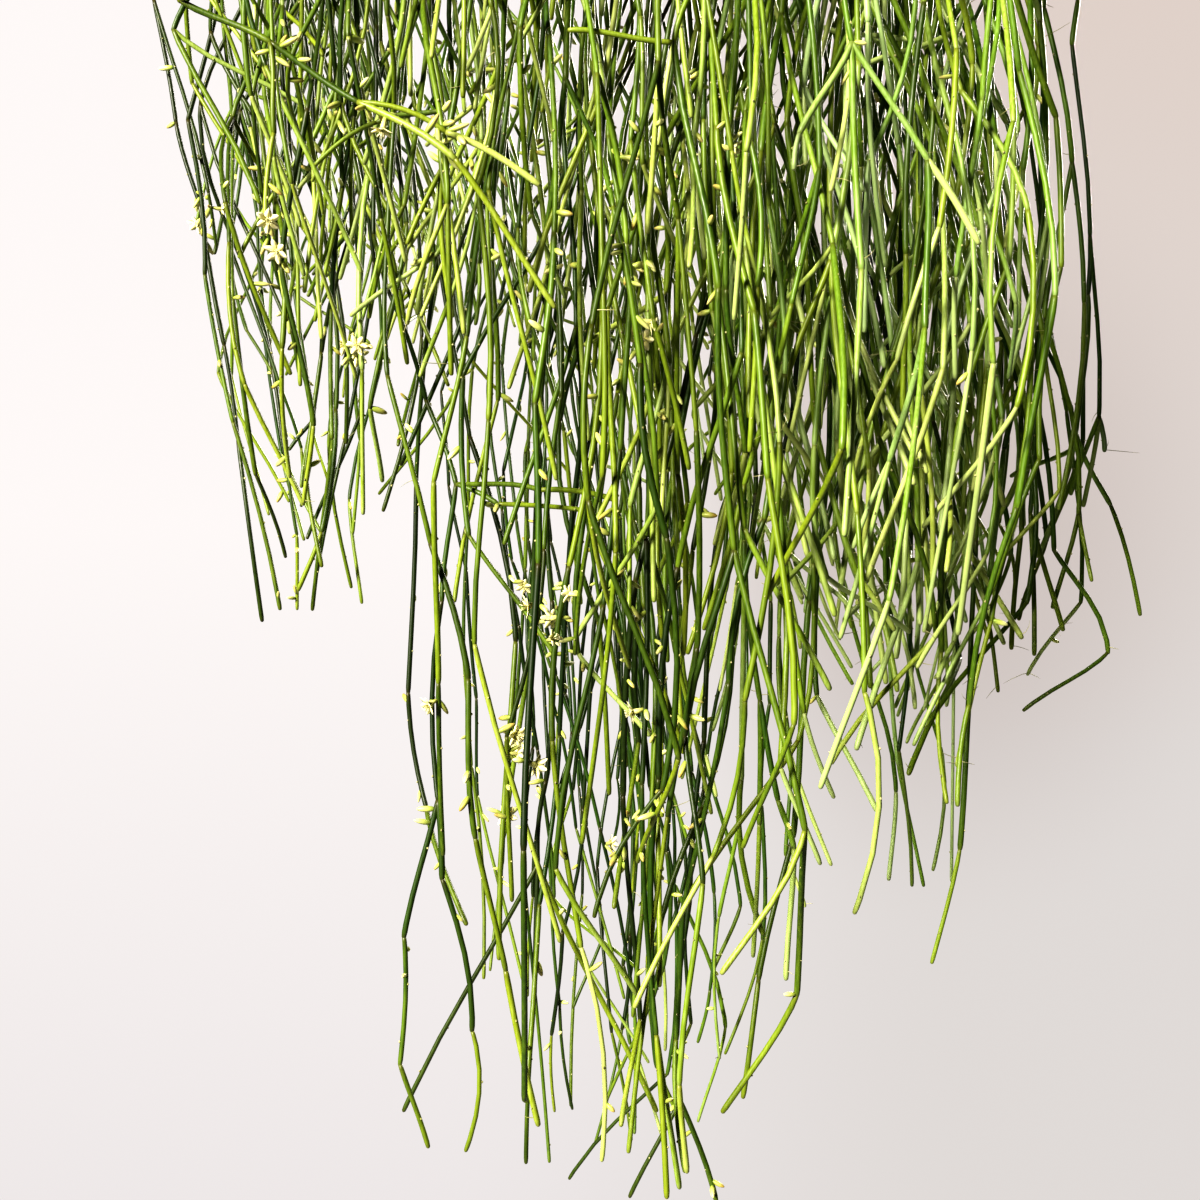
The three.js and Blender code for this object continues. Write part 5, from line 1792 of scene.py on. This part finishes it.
# %% Bark chips and perlite
CHIPS = 1500
CHIP_SIZES = [3, 10]
PERLITE = 260
PERLITE_SIZES = [1.6, 4]
FROM_WALL = 9
BLOCK_SIDES = 5
BLOCK_SHAPE = [1, 0.62, 0.45]
BLOCK_RINGS = np.array([[-1, 0.55], [-0.45, 1], [0.5, 0.95], [1, 0.5]])
BLOCK_TILT = 0.35
BLOCK_LIFT = 0.1


def chip_shapes(count, size, draws):
    """Small rough blocks on the soil: each has four rings of five corners moved about by chance, is longer
    than it is wide, and lies nearly flat. A row of BLOCK_RINGS is a ring's place from -1 to 1 along the
    block, and its girth."""
    reach = inner_radius(SOIL_Z) - FROM_WALL
    out = reach * np.sqrt(draws.uniform(0, 1, count))
    turn = draws.uniform(0, 2 * np.pi, count)
    place = np.stack([out * np.cos(turn), out * np.sin(turn), np.zeros(count)], -1)
    hills = SOIL_RELIEF * relief(place[:, 0], place[:, 1])
    place[:, 2] = SOIL_Z - SOIL_RELIEF + hills + BLOCK_LIFT * size[0]
    long = unit(np.stack([*draws.normal(0, 1, (2, count)), draws.normal(0, BLOCK_TILT, count)], -1))
    wide, _ = across(long)
    high = np.cross(long, wide)
    half = draws.uniform(*size, (count, 1)) / 2 * np.array(BLOCK_SHAPE) * draws.uniform(0.7, 1.3, (count, 3))
    angle = even_turns(BLOCK_SIDES)
    ends = BLOCK_RINGS[None, :, :1] * np.ones((count, 1, BLOCK_SIDES))
    girth = BLOCK_RINGS[None, :, 1:] * draws.uniform(0.75, 1.25, ends.shape)
    axes = (long, wide, high)
    steps = (ends * draws.uniform(0.85, 1.15, ends.shape), girth * np.cos(angle), girth * np.sin(angle))
    points = place[:, None, None] + sum(
        axis[:, None, None] * (step * half[:, i, None, None])[..., None]
        for i, (axis, step) in enumerate(zip(axes, steps))
    )
    tone = np.repeat(draws.uniform(0, 1, count), len(BLOCK_RINGS) * BLOCK_SIDES)
    return closed_tubes(points, dict(tone=tone))


soil_draws = np.random.default_rng(11 * SEED)
chips = new_piece("bark_chips", **chip_shapes(CHIPS, CHIP_SIZES, soil_draws), smooth=False)
perlite = new_piece("perlite", **chip_shapes(PERLITE, PERLITE_SIZES, soil_draws), smooth=False)
print("chips and perlite:", len(chips.data.polygons), "and", len(perlite.data.polygons), "faces")

# %% [markdown]
# ## Hook and wires
# The hook is bent from thick round wire. A turned ferrule grips the three thin wires under it, and each wire
# runs down to its ear, passes through the hole and ends turned up.

# %% The hanger
HOOK_RADIUS = 1.9
BOW_RADIUS = 13.9
BOW_CENTRE = -12
BOW_FROM = 205
BOW_TO = -45
BOW_POINTS = 48
SHANK = [[3, -29.9], [0, -36.9], [0, -68]]
SHANK_ROUND = 5
HOOK_TIP = 0.55
HOOK_SIDES = 20
FERRULE_RADIUS = 8
FERRULE_DISC = 0.6
FERRULE_BEVEL = 1
FERRULE_ROUND = 0.6
FERRULE_SIDES = 40
GROOVES = [-71.5, -64.5]
GROOVE_HALF = 1.2
GROOVE_DEPTH = 0.7
WIRE_ROUND = 2.2
WIRE_SIDES = 12


def hook_shape():
    """The bow as an arc x = r cos a, z = r sin a about its centre, then the shank. The tip is narrower."""
    turn = np.radians(np.linspace(BOW_FROM, BOW_TO, BOW_POINTS))
    bow = BOW_RADIUS * np.stack([np.cos(turn), np.zeros(BOW_POINTS), np.sin(turn)], -1) + [0, 0, BOW_CENTRE]
    shank = rounded(np.array([bow[-1], *([x, 0, z] for x, z in SHANK)]), SHANK_ROUND)[1:]
    path = np.vstack([bow, shank])
    radii = np.full(len(path), HOOK_RADIUS)
    radii[0] = HOOK_TIP * HOOK_RADIUS
    return bent_tube(path, [0, 1.0, 0], radii, HOOK_SIDES)


def ferrule_shape():
    """A round ferrule with bevelled ends and a groove at each of two heights, where it was crimped."""
    low, high = FERRULE_TOP - FERRULE_HEIGHT, FERRULE_TOP
    face = FERRULE_RADIUS - FERRULE_BEVEL
    profile = [[FERRULE_DISC, low], [face, low], [FERRULE_RADIUS, low + FERRULE_BEVEL]]
    for groove in GROOVES:
        profile.append([FERRULE_RADIUS, groove - GROOVE_HALF])
        profile.append([FERRULE_RADIUS - GROOVE_DEPTH, groove])
        profile.append([FERRULE_RADIUS, groove + GROOVE_HALF])
    profile += [[FERRULE_RADIUS, high - FERRULE_BEVEL], [face, high], [FERRULE_DISC, high]]
    return turned(rounded(profile, FERRULE_ROUND), FERRULE_SIDES)


def wire_shape(azimuth):
    """One wire of the hanger along its path, with its bends rounded."""
    normal = np.array([-np.sin(azimuth), np.cos(azimuth), 0])
    return bent_tube(rounded(wire_joints(azimuth), WIRE_ROUND), normal, WIRE_RADIUS, WIRE_SIDES)


hook = new_piece("fine_hook", **joined([hook_shape(), ferrule_shape()]))
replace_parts(hook, "hook")
wires = []
for i, azimuth in enumerate(wire_azimuths):
    wires.append(new_piece(f"fine_wire_{i + 1}", **wire_shape(azimuth)))
    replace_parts(wires[-1], f"hanger_wire_{i + 1}")
print("hook", len(hook.data.polygons), "faces, and", len(wires), "wires")

# %% [markdown]
# ## The finishes of the pot, its filling and its hanger
# None of them has one even colour. Each gets patterns of its own from noise at the size of the real ones:
# lime and mould grain on the pot, fibres and crumbs in the soil, and zinc crystals on the steel.

# %% Plastic, soil and steel


def moulded_plastic():
    """Polypropylene from a grained mould: a dull sheen, a brown that is a little uneven, and pale lime where
    water ran down."""
    material = new_material("moulded_brown_plastic")
    place = add(material, "TexCoord").outputs["Object"]
    runs = add(material, "Mapping", {"Vector": place, "Scale": (1, 1, 0.12)}).outputs["Vector"]
    lime = add(material, "TexNoise", {"Vector": runs, "Scale": 1 / (14 * MM), "Detail": 4}).outputs["Fac"]
    grain = add(material, "TexNoise", {"Vector": place, "Scale": 1 / (0.5 * MM), "Detail": 2}).outputs["Fac"]
    cloud = add(material, "TexNoise", {"Vector": place, "Scale": 1 / (60 * MM), "Detail": 3}).outputs["Fac"]
    body = add(material, "ValToRGB", {"Fac": cloud}, stops=[(0.3, "#6f3f2a"), (0.7, "#83503a")])
    limed = add(
        material, "MapRange", {"Value": lime, "From Min": 0.55, "From Max": 0.8, "To Min": 0, "To Max": 0.4}
    )
    colour = add(
        material,
        "MixRGB",
        {"Fac": limed.outputs["Result"], "Color1": body.outputs["Color"], "Color2": linear("#b9a594")},
    )
    dull = add(
        material,
        "MapRange",
        {"Value": lime, "From Min": 0.3, "From Max": 0.8, "To Min": 0.38, "To Max": 0.62},
    )
    relief_of_mould = add(material, "Bump", {"Height": grain, "Strength": 0.2, "Distance": 0.06 * MM})
    shader = add(
        material,
        "BsdfPrincipled",
        {
            "Base Color": colour.outputs["Color"],
            "Roughness": dull.outputs["Result"],
            "Normal": relief_of_mould.outputs["Normal"],
            "IOR": 1.49,
        },
    )
    add(material, "OutputMaterial", {"Surface": shader.outputs["BSDF"]})
    return material


def peat():
    """Damp peat: nearly black, with fibres of lighter brown and crumbs that catch the light."""
    material = new_material("damp_peat")
    place = add(material, "TexCoord").outputs["Object"]
    crumbs = add(material, "TexVoronoi", {"Vector": place, "Scale": 1 / (2.2 * MM)}).outputs["Distance"]
    fibres = add(material, "TexNoise", {"Vector": place, "Scale": 1 / (1.5 * MM), "Detail": 5}).outputs["Fac"]
    colour = add(
        material, "ValToRGB", {"Fac": fibres}, stops=[(0.3, "#1b120b"), (0.8, "#5a4330"), (0.55, "#2f2116")]
    )
    lumps = add(material, "Bump", {"Height": crumbs, "Strength": 0.9, "Distance": 0.8 * MM})
    shader = add(
        material,
        "BsdfPrincipled",
        {"Base Color": colour.outputs["Color"], "Roughness": 0.9, "Normal": lumps.outputs["Normal"]},
    )
    add(material, "OutputMaterial", {"Surface": shader.outputs["BSDF"]})
    return material


def bark():
    """Chips of pine bark: fresh ones reddish, old ones grey-brown, all with fine layers."""
    material = new_material("pine_bark")
    place = add(material, "TexCoord").outputs["Object"]
    tone = add(material, "Attribute", attribute_name="tone").outputs["Fac"]
    layers = add(material, "TexNoise", {"Vector": place, "Scale": 1 / (1.2 * MM), "Detail": 4}).outputs["Fac"]
    mixed = add(material, "Math", {0: layers, 1: 0.6, 2: tone}, operation="MULTIPLY_ADD").outputs[0]
    colour = add(
        material, "ValToRGB", {"Fac": mixed}, stops=[(0.3, "#2a1a10"), (1, "#8a6a4c"), (0.8, "#5d3c24")]
    )
    grain = add(material, "Bump", {"Height": layers, "Strength": 0.6, "Distance": 0.4 * MM})
    shader = add(
        material,
        "BsdfPrincipled",
        {"Base Color": colour.outputs["Color"], "Roughness": 0.85, "Normal": grain.outputs["Normal"]},
    )
    add(material, "OutputMaterial", {"Surface": shader.outputs["BSDF"]})
    return material


def volcanic_glass():
    """Perlite: white, porous and stained a little by the peat."""
    material = new_material("porous_perlite")
    place = add(material, "TexCoord").outputs["Object"]
    pores = add(material, "TexVoronoi", {"Vector": place, "Scale": 1 / (0.5 * MM)}).outputs["Distance"]
    stain = add(material, "TexNoise", {"Vector": place, "Scale": 1 / (3 * MM), "Detail": 3}).outputs["Fac"]
    colour = add(material, "ValToRGB", {"Fac": stain}, stops=[(0.35, "#a89d8c"), (0.6, "#e9e6df")])
    holes = add(material, "Bump", {"Height": pores, "Strength": 0.5, "Distance": 0.2 * MM})
    shader = add(
        material,
        "BsdfPrincipled",
        {"Base Color": colour.outputs["Color"], "Roughness": 0.8, "Normal": holes.outputs["Normal"]},
    )
    add(material, "OutputMaterial", {"Surface": shader.outputs["BSDF"]})
    return material


def galvanised_steel():
    """Zinc on steel: grey, with the crystals of the zinc as faint patches, and duller where it has aged."""
    material = new_material("galvanised_steel")
    place = add(material, "TexCoord").outputs["Object"]
    crystals = add(material, "TexVoronoi", {"Vector": place, "Scale": 1 / (3 * MM)}).outputs["Color"]
    tint = add(material, "SeparateXYZ", {"Vector": crystals}).outputs["X"]
    age = add(material, "TexNoise", {"Vector": place, "Scale": 1 / (18 * MM), "Detail": 4}).outputs["Fac"]
    colour = add(material, "ValToRGB", {"Fac": tint}, stops=[(0, "#8f9294"), (1, "#b7babb")])
    dull = add(
        material, "MapRange", {"Value": age, "From Min": 0.3, "From Max": 0.7, "To Min": 0.26, "To Max": 0.48}
    )
    shader = add(
        material,
        "BsdfPrincipled",
        {"Base Color": colour.outputs["Color"], "Metallic": 1.0, "Roughness": dull.outputs["Result"]},
    )
    add(material, "OutputMaterial", {"Surface": shader.outputs["BSDF"]})
    return material


steel = galvanised_steel()
finishes = [
    (pot, moulded_plastic(), "pot_plastic"),
    (soil, peat(), "potting_mix"),
    (chips, bark(), "potting_mix"),
    (perlite, volcanic_glass(), "potting_mix"),
    (hook, steel, "hanger_steel"),
    *((wire, steel, "hanger_steel") for wire in wires),
]
for piece, finish, slot in finishes:
    piece.data.materials.append(finish)
    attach(piece, "root")
    print(piece.name, "is of", finish.name)

# %% [markdown]
# ## Floor, light and camera
# The plant hangs clear of everything, so the floor lies well below it. Behind it is a pale room, brighter on
# the left, with a faint shadow on its wall at the right, and it gives little light of its own. A lamp far off
# at the front left is small for its distance, so it draws clear shadows, and a weaker one at the back right
# keeps the other sides from going dark.

# %% The floor
FLOOR_Z = -2000
FLOOR_RADIUS = 1800
FLOOR_SIDES = 96
FLOOR_GREY = "#7c7b7d"


def pale_paint(name, colour):
    """Matt paint: hardly any shine, and one even colour."""
    material = new_material(name)
    shader = add(material, "BsdfPrincipled", {"Base Color": linear(colour), "Roughness": 0.9})
    add(material, "OutputMaterial", {"Surface": shader.outputs["BSDF"]})
    return material


edge = np.array([polar(FLOOR_RADIUS, turn, FLOOR_Z) for turn in even_turns(FLOOR_SIDES)])
floor = new_piece("floor", edge, triangles=fan_faces(0, FLOOR_SIDES, reverse=False), smooth=False)
floor.data.materials.append(pale_paint("pale_floor_paint", FLOOR_GREY))
print("floor at", FLOOR_Z, "mm")

# %% [markdown]
# The room is painted on the world. The camera sees it at full strength, and the plant gets only a small
# share of its light. Its places are parts of a look one metre long: how much of it goes to the right, away
# from the front, and up.

# %% The room
LIT_TO_DIM = [-0.12, 0.26]
LIT_DOWNWARDS = [0.05, -0.42]
DIM_DOWNWARDS = [0.4, -0.1]
LIT_HIGH = "#d9d5d4"
LIT_LOW = "#ccc8c8"
DIM_HIGH = "#c3b8b2"
DIM_LOW = "#c3bfbd"
SHADOW_AT = (0.24, 0.97, 0.04)
SHADOW_SQUEEZE = (6.2, 2, 5)
SHADOW_EDGE = [0.3, 1.4]
SHADOW_STRENGTH = 0.34
SHADOW_COLOUR = "#9f908a"
ROOM_LIGHT = [0.01, 0.14]

world = bpy.data.worlds.new("pale_room")
bpy.context.scene.world = world
world.use_nodes = True
world.node_tree.nodes.clear()
heading = add(world, "TexCoord").outputs["Generated"]
apart = add(world, "SeparateXYZ", {"Vector": heading})
rightwards = add(
    world,
    "MapRange",
    {"Value": apart.outputs["X"], "From Min": LIT_TO_DIM[0], "From Max": LIT_TO_DIM[1]},
    interpolation_type="SMOOTHSTEP",
)
walls = []
for (high, low), top, bottom in ((LIT_DOWNWARDS, LIT_HIGH, LIT_LOW), (DIM_DOWNWARDS, DIM_HIGH, DIM_LOW)):
    down = add(world, "MapRange", {"Value": apart.outputs["Z"], "From Min": high, "From Max": low})
    colours = {"Fac": down.outputs["Result"], "Color1": linear(top), "Color2": linear(bottom)}
    walls.append(add(world, "MixRGB", colours).outputs["Color"])
wall = add(world, "MixRGB", {"Fac": rightwards.outputs["Result"], "Color1": walls[0], "Color2": walls[1]})
from_shadow = add(world, "VectorMath", {0: heading, 1: SHADOW_AT}, operation="SUBTRACT").outputs["Vector"]
squeezed = add(world, "VectorMath", {0: from_shadow, 1: SHADOW_SQUEEZE}, operation="MULTIPLY")
away_by = add(world, "VectorMath", {0: squeezed.outputs["Vector"]}, operation="LENGTH").outputs["Value"]
shadow = add(
    world,
    "MapRange",
    {
        "Value": away_by,
        "From Min": SHADOW_EDGE[0],
        "From Max": SHADOW_EDGE[1],
        "To Min": SHADOW_STRENGTH,
        "To Max": 0,
    },
    interpolation_type="SMOOTHSTEP",
)
seen_wall = add(
    world,
    "MixRGB",
    {"Fac": shadow.outputs["Result"], "Color1": wall.outputs["Color"], "Color2": linear(SHADOW_COLOUR)},
)
glow = add(world, "Background", {"Color": seen_wall.outputs["Color"], "Strength": 1.0})
light = add(
    world,
    "MapRange",
    {
        "Value": apart.outputs["Y"],
        "From Min": 0,
        "From Max": 1,
        "To Min": ROOM_LIGHT[0],
        "To Max": ROOM_LIGHT[1],
    },
)
shade = add(world, "Background", {"Color": wall.outputs["Color"], "Strength": light.outputs["Result"]})
seen = add(world, "LightPath").outputs["Is Camera Ray"]
both = add(world, "MixShader", {0: seen, 1: shade.outputs["Background"], 2: glow.outputs["Background"]})
add(world, "OutputWorld", {"Surface": both.outputs["Shader"]})
print(world.name, "has", len(world.node_tree.nodes), "nodes")

# %% The lamps
WARM_WHITE = "#fff8ec"


def soft_lamp(name, place, aim, size, power):
    """A square lamp that looks from one place at another, with its size in metres and its power in watts."""
    data = bpy.data.lights.new(name, "AREA")
    data.size = size
    data.energy = power
    data.color = linear(WARM_WHITE)[:3]
    lamp = bpy.data.objects.new(name, data)
    lamp.location = place
    lamp.rotation_euler = (Vector(aim) - Vector(place)).to_track_quat("-Z", "Y").to_euler()
    bpy.context.scene.collection.objects.link(lamp)
    print(name, "has", power, "watts")


soft_lamp("window", place=(-2.7, -3.3, 0.9), aim=(0, 0, -0.85), size=1, power=725)
soft_lamp("far_window", place=(1.7, 2.4, 0.6), aim=(0, 0, -0.7), size=1.2, power=250)

# %% The camera
HALF_SEEN = 300
lens = bpy.data.cameras.new("eye")
lens.sensor_width = 36
lens.angle = 2 * math.atan(HALF_SEEN / EYE_DISTANCE)
camera = bpy.data.objects.new("eye", lens)
camera.location = (0, -EYE_DISTANCE * MM, EYE_HEIGHT * MM)
camera.rotation_euler = (math.pi / 2, 0, 0)
bpy.context.scene.collection.objects.link(camera)
bpy.context.scene.camera = camera
bpy.context.scene.view_settings.view_transform = "Standard"
bpy.context.scene.view_settings.look = "High Contrast"

print("the camera sees", round(math.degrees(lens.angle), 1), "degrees")
